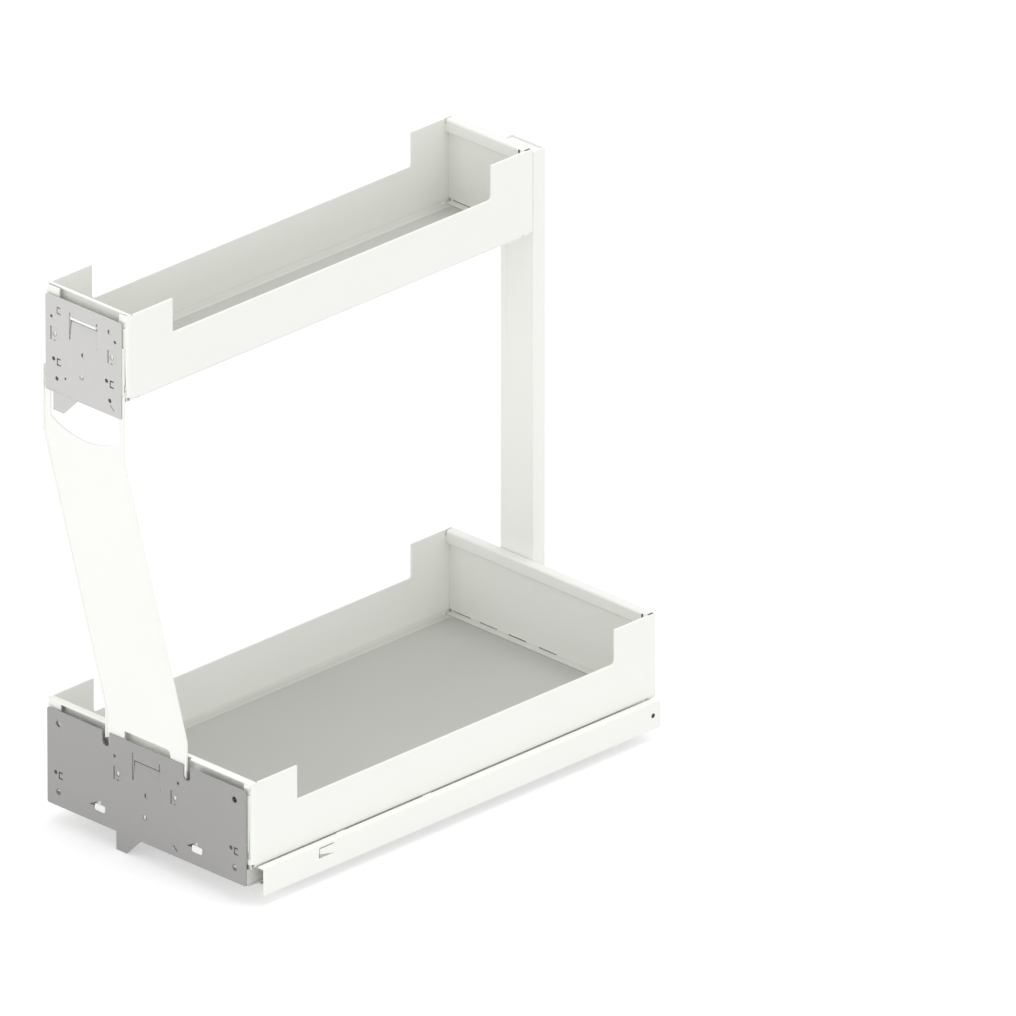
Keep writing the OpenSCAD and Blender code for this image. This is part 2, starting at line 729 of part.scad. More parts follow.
module prong_outline() {
    left = -prong_x;
    polygon([[left, cut], [left, -prong_h], [left + prong_w, -prong_h],
        [left + prong_w + prong_h, 0], [left + prong_w + prong_h, cut]]);
}

// The tongue leans back from its lower end
module tongue(y) {
    back_y = y + plate_t;
    top_z = tongue_z + tongue_h;
    along_x(-tongue_w / 2, tongue_w + slit_w - stop_gap)
        polygon([[y, tongue_z - plate_t], [back_y, tongue_z - plate_t],
            [back_y + tongue_set, top_z], [y + tongue_set, top_z], [y, tongue_z]]);
}

module front_plate(x, w, z, pattern_x, free_h) {
    translate([0, 0, z]) difference() {
        union() {
            upright(plate_y, plate_t) difference() {
                union() {
                    translate([x - w / 2, 0]) round_rect(w, plate_h, plate_r);
                    translate([pattern_x, 0]) prong_outline();
                }
                translate([pattern_x, 0]) plate_pattern(free_h);
                children();
            }
            translate([pattern_x, 0, 0]) tongue(plate_y);
        }
        // Blind holes for the screws from behind
        for (side = [-1, 1], screw_z = plate_screw_zs)
            hole_y(x + side * (w / 2 + plate_inset - plate_screw_inset),
                plate_y + plate_t / 3, screw_z + plate_drop, screw_r + fit_gap, plate_t);
    }
}

module lower_front_plate() {
    door_x = lower_plate_w / 2 - door_hole_inset;
    color("darkgray")
    front_plate(lower_x, lower_plate_w, lower_plate_z, lower_x, tongue_cut_h) {
        for (side = [-1, 1]) {
            for (z = [door_hole_low_z, door_hole_high_z])
                translate([side * door_x, z]) circle(door_hole_r);
            translate([side * (lower_plate_w / 2 - mark_inset), mark_z]) bracket_mark();
            translate([cam_shift + side * cam_x, cam_z]) {
                cam_outline(0);
                polygon([[-cam_hook_w, 0], [0, cam_hook_h], [cam_slot_h / 4, 0]]);
            }
            translate([side * arm_w / 2, plate_h - notch_d + notch_w / 2]) circle(notch_w / 2);
            translate([side * arm_w / 2 - notch_w / 2, plate_h - notch_d + notch_w / 2])
                square([notch_w, notch_d]);
        }
    }
}

module upper_front_plate() {
    ridge_gap_h = tongue_cut_h + ridge_h + stop_gap;
    color("silver") front_plate(upper_x, upper_plate_w, upper_plate_z, upper_x, ridge_gap_h)
        translate([upper_x, 0]) {
            for (side = [-1, 1]) translate([side * pattern_hole_gap / 2, mark_z]) bracket_mark();
            translate([pattern_hole_gap / 2, door_hole_high_z]) circle(pattern_hole_r);
            translate([-pattern_hole_gap / 2, door_hole_high_z]) bracket_mark();
        }
}

// Height adjusters: plastic cams seated in the lower plate, with a collar behind it.
module cam_outline(gap) {
    translate([gap - cam_slot_w / 2, gap - cam_slot_h / 2])
        round_rect(cam_slot_w - 2 * gap, cam_slot_h - 2 * gap, cam_slot_r);
}

module height_adjusters() {
    color("white") for (side = [-1, 1])
        translate([cam_shift + side * cam_x, 0, lower_plate_z + cam_z]) {
            upright(plate_y - cam_proud, plate_t + cam_proud) cam_outline(fit_gap);
            hole_y(0, arm_y, 0, cam_slot_w / 2, arm_t);
        }
}

// Outline of the arm in X and Z, a little narrower by inset at its flanged edges
module arm_outline(inset) {
    half = arm_w / 2 - inset;
    top = upper_plate_z + arm_flange_high_z;
    low = lower_plate_z + arm_flange_low_z;
    polygon([[lower_x - half, low], [lower_x + half, low],
        [lower_x + half, lower_z + arm_low_bend_z], [upper_x + half, lower_z + arm_high_bend_z],
        [upper_x + half, top], [upper_x - half, top],
        [upper_x - half, lower_z + arm_high_bend_z], [lower_x - half, lower_z + arm_low_bend_z]]);
}

// Hand hole below the upper plate: straight ends and a round lower edge
module grip_outline() {
    half = grip_w / 2;
    sag = grip_d - grip_side_d;
    r = (half * half + sag * sag) / (2 * sag);
    side_z = upper_plate_z - grip_side_d;
    translate([upper_x - half, side_z])
        square([grip_w, grip_side_d + prong_h / 3]);
    intersection() {
        translate([upper_x, side_z - sag + r]) circle(r, $fn = 96);
        translate([upper_x - half, side_z - sag - cut]) square([grip_w, sag + 2 * cut]);
    }
}

// Cut-out above the lower plate, in front of the lower rim, its right corner round
module rim_window_outline() {
    half = rim_window_w / 2;
    low = lower_plate_z + plate_h - cut;
    high = lower_z + rim_window_z;
    translate([lower_x - half, low]) square([rim_window_w - rim_window_r, high - low]);
    translate([lower_x - half, low]) square([rim_window_w, high - low - rim_window_r]);
    translate([lower_x + half - rim_window_r, high - rim_window_r]) circle(rim_window_r);
}

module front_arm() {
    top_half = arm_w / 2 - arm_step;
    window_w = tongue_w + 2 * slit_w;
    ridge_z = tongue_z + tongue_h + tongue_cut_h;
    color("white") difference() {
        union() {
            upright(arm_y, arm_t) difference() {
                union() {
                    arm_outline(0);
                    translate([upper_x - top_half, upper_plate_z])
                        square([2 * top_half, arm_top_z]);
                    translate([upper_x - window_w / 2 - ridge_side_w, upper_plate_z])
                        square([window_w + 2 * ridge_side_w, ridge_z + ridge_h]);
                    translate([lower_x - top_half, lower_plate_z + arm_foot_z])
                        square([2 * top_half, plate_h]);
                }
                grip_outline();
                rim_window_outline();
                // Behind both tongues
                for (place = [[lower_x, lower_plate_z], [upper_x, upper_plate_z]])
                    translate([place[0] - window_w / 2, place[1] + tongue_z - plate_t - cut])
                        square([window_w, tongue_h + tongue_cut_h + plate_t + cut]);
            }
            // The ridge is pressed forward, level with the upper plate
            translate([upper_x - tongue_w / 2 + stop_gap, plate_y, upper_plate_z + ridge_z])
                cube([tongue_w - 2 * stop_gap, plate_t + arm_t, ridge_h]);
            upright(arm_y - arm_flange_d, arm_flange_d) difference() {
                arm_outline(0);
                arm_outline(arm_t);
            }
        }
        for (x = arm_rivet_xs, z = arm_rivet_zs) {
            hole_y(lower_x + x, arm_y - cut, lower_plate_z + z, screw_r + fit_gap, arm_t + 2 * cut);
        }
        for (side = [-1, 1], screw_z = plate_screw_zs)
            hole_y(upper_x + side * (upper_w / 2 - plate_screw_inset), arm_y - cut,
                upper_z + screw_z, screw_r + fit_gap, arm_t + 2 * cut);
    }
}

// Places of the rivets that join the arm's foot to the lower plate
arm_rivet_xs = [-pattern_hole_gap / 2, pattern_hole_gap / 2];
arm_rivet_zs = [plate_h / 3];

// Rear post: a rectangular tube, screwed to both trays' rear walls through its front face.
// Larger holes in its rear face let the screws in.
module rear_post() {
    foot_z = lower_z + post_foot_z;
    top_z = upper_z + corner_h - post_top_drop;
    height = top_z - foot_z;
    color("whitesmoke") translate([post_x - post_w / 2, post_y, foot_z]) difference() {
        cube([post_w, post_d, height]);
        translate([post_t, post_t, -cut])
            cube([post_w - 2 * post_t, post_d - 2 * post_t, height + 2 * cut]);
        translate([post_w / 2, 0, -foot_z]) for (x = post_screw_xs, z = [lower_z, upper_z]) {
            hole_y(x, -cut, z + post_screw_z, screw_r + fit_gap, post_t + 2 * cut);
            hole_y(x, post_d - post_t - cut, z + post_screw_z, screw_head_r + post_hole_gap,
                post_t + 2 * cut);
        }
    }
}

post_screw_xs = [-post_w / 4, post_w / 4];
post_screw_z = corner_h - post_screw_drop;

// A screw along Y: its head's outside face at y, pointing to -Y when dir is -1
module screw_y(x, y, z, dir, l) {
    translate([x, y, z]) rotate([dir * -90, 0, 0]) {
        cylinder(h = screw_head_h, r1 = screw_head_r * 0.8, r2 = screw_head_r);
        cylinder(h = screw_head_h + l, r = screw_r);
    }
}

// Washers between the lower shell's front flanges and the plate, as thick as the arm
module plate_spacers() {
    color("white") for (side = [-1, 1], z = plate_screw_zs)
        translate([lower_x + side * (lower_w / 2 - plate_screw_inset), arm_y, lower_z + z])
            rotate([-90, 0, 0]) difference() {
                cylinder(h = arm_t, r = screw_head_r);
                translate([0, 0, -cut]) cylinder(h = arm_t + 2 * cut, r = screw_r + fit_gap);
            }
}

module plate_screws() {
    // Heads lie behind the front flanges, and the tips end inside the plates
    head_y = front_y + tray_t + screw_head_h;
    reach = tray_t + arm_t + plate_t / 2;
    color("silver")
        for (place = [[lower_x, lower_w, lower_z], [upper_x, upper_w, upper_z]],
            side = [-1, 1], z = plate_screw_zs)
            screw_y(place[0] + side * (place[1] / 2 - plate_screw_inset), head_y,
                place[2] + z, -1, reach);
}

module arm_rivets() {
    color("silver") for (x = arm_rivet_xs, z = arm_rivet_zs)
        translate([lower_x + x, 0, lower_plate_z + z]) {
            hole_y(0, arm_y, 0, screw_r, arm_t);
            hole_y(0, front_y, 0, screw_head_r, rivet_head_h);
        }
}

module post_screws() {
    head_y = post_y + post_t + screw_head_h;
    reach = post_t + wall_t + rivet_head_h;
    color("silver") for (x = post_screw_xs, z = [lower_z, upper_z])
        screw_y(post_x + x, head_y, z + post_screw_z, -1, reach);
}

// Runner sections are drawn in X from the runner's middle and Z from the cabinet floor.
module channel_section(half, low, top) {
    translate([-half, top - rail_t]) square([2 * half, rail_t]);
    for (side = [0, 1]) mirror([side, 0])
        translate([half - rail_t, low]) square([rail_t, top - low]);
}

module race(x, z) {
    for (side = [-1, 1]) translate([side * x, z]) circle(ball_r + ball_gap);
}

// A straight rail from y0 to y1
module rail(x, y0, y1) {
    translate([x, 0, 0]) upright(y0, y1 - y0) children();
}

// A stop tab for a ball cage, on a rail's web at y, from z up
module stop_tab(x, y, z) {
    tab_w = cabinet_rail_half;
    translate([x - tab_w / 2, y, z]) cube([tab_w, stop_tab_l, web_gap / 2]);
}

module tray_rail(x) {
    difference() {
        union() {
            rail(x, arm_y, rail_rear_y) difference() {
                union() {
                    channel_section(tray_rail_half, tray_rail_z, runner_h);
                    for (side = [0, 1]) mirror([side, 0])
                        translate([tray_rail_half, tray_rail_z]) square([tray_rail_lip, rail_t]);
                }
                race(outer_ball_x, outer_ball_z);
            }
            stop_tab(x, rail_rear_y - stop_tab_l, runner_h - rail_t - web_gap / 2);
        }
        for (share = rivet_row_shares)
            translate([x, rail_mid_y + share * rail_l, lower_z - rail_t - cut])
                cylinder(h = rail_t + 2 * cut, r = rivet_r + fit_gap);
    }
}

module left_tray_rail() {
    color("gainsboro") tray_rail(-runner_x);
}

module right_tray_rail() {
    color("gainsboro") tray_rail(runner_x);
}

module middle_rail(x) {
    rail(x, rail_front_y, rail_rear_y) difference() {
        channel_section(middle_rail_half, middle_rail_z, middle_rail_top);
        race(outer_ball_x, outer_ball_z);
        race(inner_ball_x, inner_ball_z);
    }
    stop_tab(x, rail_front_y, middle_rail_top);
    stop_tab(x, rail_rear_y - stop_tab_l, middle_rail_top - rail_t - web_gap / 2);
}

module left_middle_rail() {
    color("silver") middle_rail(-runner_x);
}

module right_middle_rail() {
    color("silver") middle_rail(runner_x);
}

// Cabinet rail: the innermost channel, standing on the base frame with two inward feet.
rail_foot_w = cabinet_rail_half / 2;

module cabinet_rail(x) {
    difference() {
        union() {
            rail(x, rail_front_y, rail_rear_y) difference() {
                union() {
                    channel_section(cabinet_rail_half, base_t, cabinet_rail_top);
                    for (side = [0, 1]) mirror([side, 0])
                        translate([cabinet_rail_half - rail_foot_w, base_t])
                            square([rail_foot_w, rail_t]);
                }
                race(inner_ball_x, inner_ball_z);
            }
            stop_tab(x, rail_front_y, cabinet_rail_top);
        }
        for (share = rivet_row_shares)
            translate([x, rail_mid_y + share * rail_l, base_t]) cross_rivets(fit_gap);
    }
}

module left_cabinet_rail() {
    color("silver") cabinet_rail(-runner_x);
}

module right_cabinet_rail() {
    color("silver") cabinet_rail(runner_x);
}

// The pair of rivet shanks in a cabinet rail's feet, flush with the base frame's underside
module cross_rivets(gap) {
    rivet_x = cabinet_rail_half - rail_foot_w + rivet_r / 4;
    for (side = [-1, 1]) translate([side * rivet_x, 0, -base_t - gap])
        cylinder(h = base_t + rail_t + 2 * gap, r = rivet_r / 2 + gap);
}

module cabinet_rail_rivets() {
    rivet_x = cabinet_rail_half - rail_foot_w + rivet_r / 4;
    color("silver") for (side = [-1, 1], share = rivet_row_shares)
        translate([side * runner_x, rail_mid_y + share * rail_l, base_t]) {
            cross_rivets(0);
            for (foot = [-1, 1]) translate([foot * rivet_x, 0, rail_t])
                cylinder(h = rivet_head_h, r1 = rivet_r, r2 = rivet_r / 2);
        }
}

// Countersunk rivets that hold the tray rails under the lower tray's floor.
module rivet_hole() {
    cylinder(h = 2 * cut + tray_t, r = rivet_r + fit_gap);
    translate([0, 0, cut + tray_t - rivet_head_h])
        cylinder(h = rivet_head_h + fit_gap, r1 = rivet_r + fit_gap, r2 = rivet_head_r + fit_gap);
}

module tray_rail_rivets() {
    color("silver") for (side = [-1, 1], share = rivet_row_shares)
        translate([side * runner_x, rail_mid_y + share * rail_l, lower_z]) {
            translate([0, 0, -rail_t]) cylinder(h = rail_t + tray_t, r = rivet_r);
            translate([0, 0, tray_t - rivet_head_h])
                cylinder(h = rivet_head_h, r1 = rivet_r, r2 = rivet_head_r);
        }
}

// Ball cages: U-shaped plastic strips that straddle a rail and space two rows of balls.
module cage_section(ball_x, ball_z, web_z) {
    half = ball_x + cage_t / 2;
    low = ball_z - ball_r - cage_t;
    translate([-half, web_z]) square([2 * half, cage_t]);
    for (side = [0, 1]) mirror([side, 0])
        translate([half - cage_t, low]) square([cage_t, web_z - low + cage_t]);
}

module cage_balls(x, ball_x, ball_z, r) {
    for (side = [-1, 1], i = [0 : balls_per_row - 1])
        translate([x + side * ball_x, cage_mid_y + (i + 0.5 - balls_per_row / 2) * ball_pitch,
            ball_z]) sphere(r);
}

module cage_pockets(x, ball_x, ball_z) {
    for (side = [-1, 1], i = [0 : balls_per_row - 1])
        translate([x + side * ball_x - cage_t,
            cage_mid_y + (i + 0.5 - balls_per_row / 2) * ball_pitch, ball_z])
            rotate([0, 90, 0]) cylinder(h = 2 * cage_t, r = ball_r + ball_gap);
}

module ball_cages(ball_x, ball_z, rail_top) {
    web_z = rail_top + (web_gap - cage_t) / 2;
    for (side = [-1, 1]) difference() {
        rail(side * runner_x, cage_mid_y - cage_l / 2, cage_mid_y + cage_l / 2)
            cage_section(ball_x, ball_z, web_z);
        cage_pockets(side * runner_x, ball_x, ball_z);
    }
}

module inner_ball_cages() {
    color("dimgray") ball_cages(inner_ball_x, inner_ball_z, cabinet_rail_top);
}

module outer_ball_cages() {
    color("dimgray") ball_cages(outer_ball_x, outer_ball_z, middle_rail_top);
}

module inner_balls() {
    color("silver") for (side = [-1, 1])
        cage_balls(side * runner_x, inner_ball_x, inner_ball_z, ball_r);
}

module outer_balls() {
    color("silver") for (side = [-1, 1])
        cage_balls(side * runner_x, outer_ball_x, outer_ball_z, ball_r);
}

// Base frame: one flat sheet with a large opening, its right edge turned up as the strip
// that is screwed to the cabinet's side.
module base_frame() {
    base_front_y = front_y + base_front_gap;
    base_rear_y = rear_y - base_rear_gap;
    base_left_x = -runner_x - rail_web_w / 2;
    opening_x = runner_x - rail_web_w / 2;
    strip_y = front_y + strip_front_gap;
    tab_y = strip_y + strip_tab_y;
    color("whitesmoke") difference() {
        union() {
            translate([base_left_x, base_front_y, 0])
                cube([strip_x - base_left_x, base_rear_y - base_front_y, base_t]);
            translate([strip_x - base_t, strip_y, 0]) cube([base_t, strip_l, strip_h]);
            translate([strip_x - strip_lip_w, strip_y, strip_h - base_t])
                cube([strip_lip_w, strip_l, base_t]);
            for (y = [guide_tab_y, guide_tab_y + guide_tab_gap])
                translate([strip_x - guide_tab_w, strip_y + y, strip_h - base_t])
                    cube([guide_tab_w, guide_tab_l, base_t]);
        }
        translate([-opening_x, base_front_y + front_tie_w, -cut])
            cube([2 * opening_x, base_rear_y - base_front_y - front_tie_w - rear_tie_w,
                base_t + 2 * cut]);
        for (x = [-1, 1], y = [-1, 1])
            translate([x * floor_hole_dx / 2, y * floor_hole_dy / 2, -cut])
                cylinder(h = base_t + 2 * cut, r = floor_hole_r);
        translate([strip_x - base_t - cut, strip_y + strip_l - side_hole_inset, side_hole_z])
            rotate([0, 90, 0]) cylinder(h = base_t + 2 * cut, r = side_hole_r);
        // Cuts that free the locating tab: one in front, a wedge below and a slit above
        along_x(strip_x - base_t - cut, base_t + 2 * cut) {
            slit_z = strip_h - base_t - 2 * strip_cut_w;
            translate([tab_y, strip_tab_z]) square([strip_cut_w, slit_z - strip_tab_z]);
            translate([tab_y, slit_z]) square([strip_tab_l, strip_cut_w]);
            polygon([[tab_y, strip_tab_z], [tab_y + strip_tab_l, strip_tab_z],
                [tab_y, strip_tab_z + strip_tab_open]]);
        }
        // Bevel of the upper rear corner
        along_x(strip_x - strip_lip_w - cut, strip_lip_w + 2 * cut)
            polygon([[strip_y + strip_l + cut, strip_h + cut],
                [strip_y + strip_l - strip_bevel - cut, strip_h + cut],
                [strip_y + strip_l + cut, strip_h - strip_bevel - cut]]);
        for (side = [-1, 1], share = rivet_row_shares)
            translate([side * runner_x, rail_mid_y + share * rail_l, base_t])
                cross_rivets(fit_gap);
    }
}

// Rubber buffers behind the runners, which the tray rails meet when they close.
module rear_buffers() {
    buffer_y = rail_rear_y + stop_gap;
    buffer_l = (rail_rear_gap - base_rear_gap) * 0.6;
    color("dimgray") for (side = [-1, 1])
        translate([side * runner_x - tray_rail_half, buffer_y, base_t])
            cube([tray_rail_w, buffer_l, outer_ball_z]);
}

// Soft-close damper: a closed cylinder with a rod that points to the front.
module damper_cylinder() {
    color("gray") difference() {
        hole_y(damper_x, damper_front_y, damper_z, damper_r, damper_l);
        hole_y(damper_x, damper_front_y + damper_end_t, damper_z, bore_r,
            damper_l - 2 * damper_end_t);
        hole_y(damper_x, damper_front_y - cut, damper_z, rod_r + rod_gap, damper_end_t + 2 * cut);
    }
}

module damper_clips() {
    clip_half = damper_r + damper_wall;
    color("dimgray") for (share = [0.12, 0.8])
        difference() {
            translate([damper_x - clip_half, damper_front_y + share * damper_l, base_t])
                cube([2 * clip_half, clip_w, damper_z - base_t + damper_wall]);
            hole_y(damper_x, damper_front_y - cut, damper_z, damper_r + fit_gap,
                damper_l + 2 * cut);
        }
}

module damper_rod() {
    // The rod's rear end stops short of the bore's end by one end wall
    rod_rear_y = damper_rear_y - damper_end_t - piston_l / 2;
    color("silver") {
        hole_y(damper_x, pad_y + pad_t / 2, damper_z, rod_r, rod_rear_y - pad_y - pad_t / 2);
        hole_y(damper_x, rod_rear_y - piston_l, damper_z, bore_r - rod_gap, piston_l);
    }
}

module damper_pad() {
    color("dimgray") difference() {
        hole_y(damper_x, pad_y, damper_z, pad_r, pad_t);
        hole_y(damper_x, pad_y + pad_t / 2, damper_z, rod_r + fit_gap, pad_t);
    }
}

// Striker: an angle under the tray's floor that pushes the damper's pad when closing.
module damper_striker() {
    striker_low_z = damper_z - pad_r;
    color("silver") {
        translate([damper_x - striker_w / 2, striker_y - base_t, striker_low_z])
            cube([striker_w, base_t, lower_z - striker_low_z]);
        translate([damper_x - striker_w / 2, striker_y - striker_w, lower_z - base_t])
            cube([striker_w, striker_w, base_t]);
    }
}

base_frame();
left_cabinet_rail();
right_cabinet_rail();
cabinet_rail_rivets();
damper_cylinder();
damper_clips();
rear_buffers();
left_middle_rail();
right_middle_rail();
inner_ball_cages();
inner_balls();
outer_ball_cages();
outer_balls();
damper_rod();
damper_pad();
left_tray_rail();
right_tray_rail();
tray_rail_rivets();
damper_striker();
lower_tray_shell();
lower_front_wall();
lower_rear_wall();
lower_floor_mat();
upper_tray_shell();
upper_front_wall();
upper_rear_wall();
upper_floor_mat();
lower_front_plate();
upper_front_plate();
height_adjusters();
front_arm();
rear_post();
plate_spacers();
plate_screws();
arm_rivets();
post_screws();
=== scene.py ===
import bpy
import bmesh
import math
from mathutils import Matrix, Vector


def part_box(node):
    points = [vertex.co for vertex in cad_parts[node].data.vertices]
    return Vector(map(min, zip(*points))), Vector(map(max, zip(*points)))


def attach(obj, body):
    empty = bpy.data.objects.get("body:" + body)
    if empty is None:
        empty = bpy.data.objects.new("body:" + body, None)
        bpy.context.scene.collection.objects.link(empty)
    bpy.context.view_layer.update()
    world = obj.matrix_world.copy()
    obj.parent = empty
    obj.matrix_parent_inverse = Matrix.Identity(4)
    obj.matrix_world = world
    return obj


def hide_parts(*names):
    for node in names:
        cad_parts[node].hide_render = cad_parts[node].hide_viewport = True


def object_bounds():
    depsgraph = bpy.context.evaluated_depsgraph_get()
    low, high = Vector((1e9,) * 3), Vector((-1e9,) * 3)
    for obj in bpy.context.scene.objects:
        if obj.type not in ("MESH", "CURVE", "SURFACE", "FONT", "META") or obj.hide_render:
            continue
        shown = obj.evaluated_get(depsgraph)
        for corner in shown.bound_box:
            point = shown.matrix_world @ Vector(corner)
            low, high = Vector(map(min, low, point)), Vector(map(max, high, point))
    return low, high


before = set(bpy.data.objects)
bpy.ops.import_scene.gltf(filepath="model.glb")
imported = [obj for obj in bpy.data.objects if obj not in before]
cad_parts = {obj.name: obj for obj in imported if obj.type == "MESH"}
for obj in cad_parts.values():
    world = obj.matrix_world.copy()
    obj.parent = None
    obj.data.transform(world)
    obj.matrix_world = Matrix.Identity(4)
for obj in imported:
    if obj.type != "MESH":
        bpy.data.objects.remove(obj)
cad_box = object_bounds()

# Camera: a very long lens far away, so that it sees the organizer as a parallel view does,
# 45 degrees round to the right and 25 degrees above.
aim, view_width = Vector((0.0980, 0.0980, 0.2503)), 0.8933
turn, rise = math.radians(45), math.radians(25)
back = Vector((math.sin(turn) * math.cos(rise), -math.cos(turn) * math.cos(rise),
               math.sin(rise)))
camera = bpy.data.objects.new("camera", bpy.data.cameras.new("camera"))
camera.data.lens, camera.data.sensor_width = 1650, 36
camera.data.clip_start, camera.data.clip_end = 1, 500
camera.location = aim + back * view_width * camera.data.lens / camera.data.sensor_width
camera.rotation_mode = "QUATERNION"
camera.rotation_quaternion = (-back).to_track_quat("-Z", "Y")
bpy.context.scene.collection.objects.link(camera)
bpy.context.scene.camera = camera
bpy.context.scene.view_settings.view_transform = "Standard"

# Base frame: one sheet of 1.5 mm steel under the lower tray. Its right edge is bent up into
# the strip that is screwed to the cabinet's side, and a narrow lip is turned in at its top.
# It is powder coated warm white after bending, which rounds every cut edge a little.
mm = 0.001


class Sock:
    """One shader socket; an expression on it adds Math nodes to its material."""

    def __init__(self, tree, out):
        self.tree, self.out = tree, out

    def node(self, kind, at=0, settings=None, **values):
        """A node of any kind, given back as its output at; inputs go by name or by number."""
        made = self.tree.nodes.new("ShaderNode" + kind)
        for key, value in (settings or {}).items():
            setattr(made, key, value)
        for key, value in values.items():
            named = [s for s in made.inputs if s.name == key.replace("_", " ")]
            target = named[0] if named else made.inputs[int(key[1:])]
            if isinstance(value, Sock):
                self.tree.links.new(value.out, target)
            else:
                target.default_value = value
        return Sock(self.tree, made.outputs[at])

    def math(self, operation, a, b=0.0):
        return self.node("Math", settings={"operation": operation}, i0=a, i1=b)

    def __add__(self, other):
        return self.math("ADD", self, other)

    def __radd__(self, other):
        return self.math("ADD", other, self)

    def __sub__(self, other):
        return self.math("SUBTRACT", self, other)

    def __rsub__(self, other):
        return self.math("SUBTRACT", other, self)

    def __mul__(self, other):
        return self.math("MULTIPLY", self, other)

    def __rmul__(self, other):
        return self.math("MULTIPLY", other, self)

    def mix(self, low, high):
        return self.node("Mix", at=2, settings={"data_type": "RGBA"}, i0=self, i6=low, i7=high)


def new_finish(name, **plain):
    """A material with plain values on its shader, and a socket of places on the object."""
    material = bpy.data.materials.new(name)
    material.use_nodes = True
    tree = material.node_tree
    shader = tree.nodes["Principled BSDF"]
    for key, value in plain.items():
        shader.inputs[key.replace("_", " ")].default_value = value
    return material, shader, Sock(tree, tree.nodes.new("ShaderNodeTexCoord").outputs["Object"])


def feed(shader, **links):
    """Links sockets to the shader's inputs of the same names."""
    for key, sock in links.items():
        sock.tree.links.new(sock.out, shader.inputs[key.replace("_", " ")])


def tone(red, green, blue):
    """A colour given in the 0 to 255 steps of a screen."""
    return tuple(((c / 255 + 0.055) / 1.055) ** 2.4 for c in (red, green, blue)) + (1,)


# Each tray's middle across, width and underside, the thickness of the trays' sheet, and how far
# from the floor the coat's painted shade reaches.
trays = {"lower": (0, 256, 23.5), "upper": (-76.8, 102.4, 424.0)}
tray_t, floor_shade_reach = 2, 4


def powder_coat(name, light, dark, foot=None):
    """Warm white powder coat: a cloud of two close tones and the fine peel of the powder.
    Inside the trays it can darken along their floors to a foot tone of painted shade."""
    material, shader, at = new_finish(name, Specular_IOR_Level=0.35)
    cloud = at.node("TexNoise", Vector=at, Scale=7.0, Detail=3.0)
    peel = at.node("TexNoise", Vector=at, Scale=900.0, Detail=2.0)
    colour = cloud.mix(tone(*light), tone(*dark))
    if foot:
        # Painted shade: inside each tray's sides and near the top of its floor, the colour turns
        # towards the foot tone.
        x, z = (at.node("SeparateXYZ", at=axis, Vector=at) for axis in (0, 2))
        for middle, width, underside in trays.values():
            across = at.math("ABSOLUTE", x - middle * mm)
            inside = at.math("LESS_THAN", across, (width / 2 - tray_t + 0.1) * mm)
            height = at.math("ABSOLUTE", z - (underside + tray_t) * mm)
            near = at.math("MAXIMUM", 0.0, 1 - 1 / (floor_shade_reach * mm) * height)
            colour = (inside * near).mix(colour, tone(*foot))
    feed(shader, Base_Color=colour,
         Roughness=0.4 + 0.12 * cloud,
         Normal=at.node("Bump", Strength=0.12, Distance=0.00004, Height=peel))
    return material


def moulded(name, light, dark, roughness):
    """Moulded plastic or rubber: even colour, a fine spark-eroded grain and duller patches."""
    material, shader, at = new_finish(name)
    grain = at.node("TexNoise", Vector=at, Scale=1500.0, Detail=1.0)
    cloud = at.node("TexNoise", Vector=at, Scale=30.0, Detail=2.0)
    feed(shader, Base_Color=cloud.mix(tone(*light), tone(*dark)),
         Roughness=roughness + 0.1 * cloud,
         Normal=at.node("Bump", Strength=0.2, Distance=0.00004, Height=grain))
    return material


def new_piece(name, mesh, body, slot, finish, *nodes):
    """Puts a finished mesh on its body, in place of the CAD nodes that it stands for."""
    piece = bpy.data.objects.new(name, mesh)
    bpy.context.scene.collection.objects.link(piece)
    mesh.materials.clear()
    mesh.materials.append(finish)
    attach(piece, body)
    if nodes:
        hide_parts(*nodes)
    return piece


sharp_fold = math.radians(35)


def round_edges(piece, width, segments, limit="ANGLE"):
    bevel = piece.modifiers.new("round_edges", "BEVEL")
    bevel.width, bevel.segments, bevel.limit_method = width * mm, segments, limit
    bevel.angle_limit = sharp_fold
    bevel.use_clamp_overlap = False
    piece.modifiers.new("even_faces", "WEIGHTED_NORMAL")


def soft_sheet(node, body, slot, finish, edge, bends=()):
    """The CAD sheet again with round cut edges; bends are (test, radius) of its wider bends."""
    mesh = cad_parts[node].data.copy()
    shape = bmesh.new()
    shape.from_mesh(mesh)
    bmesh.ops.remove_doubles(shape, verts=shape.verts, dist=0.001 * mm)
    bmesh.ops.dissolve_limit(shape, angle_limit=math.radians(1), verts=shape.verts,
                             edges=shape.edges)
    weights = shape.edges.layers.float.new("bevel_weight_edge")
    widest = max([edge] + [radius for test, radius in bends])
    for side in shape.edges:
        if len(side.link_faces) == 2 and side.calc_face_angle() > sharp_fold:
            a, b = side.verts[0].co / mm, side.verts[1].co / mm
            radius = next((r for test, r in bends if test(a, b)), edge)
            side[weights] = radius / widest
    for face in shape.faces:
        face.smooth = True
    shape.to_mesh(mesh)
    piece = new_piece(node + "_sheet", mesh, body, slot, finish, node)
    round_edges(piece, widest, 3 if bends else 2, "WEIGHT")
    return piece


def blocks(name, body, finish, boxes, slot=None):
    """One block between each pair of opposite corners. Set back in a narrow cut, a block
    gives it the shade that is seen there."""
    shape = bmesh.new()
    for low, high in boxes:
        low, high = Vector(low) * mm, Vector(high) * mm
        for vert in bmesh.ops.create_cube(shape, size=1)["verts"]:
            vert.co = (low + high) / 2 + vert.co * (high - low)
    mesh = bpy.data.meshes.new(name)
    shape.to_mesh(mesh)
    return new_piece(name, mesh, body, slot, finish)


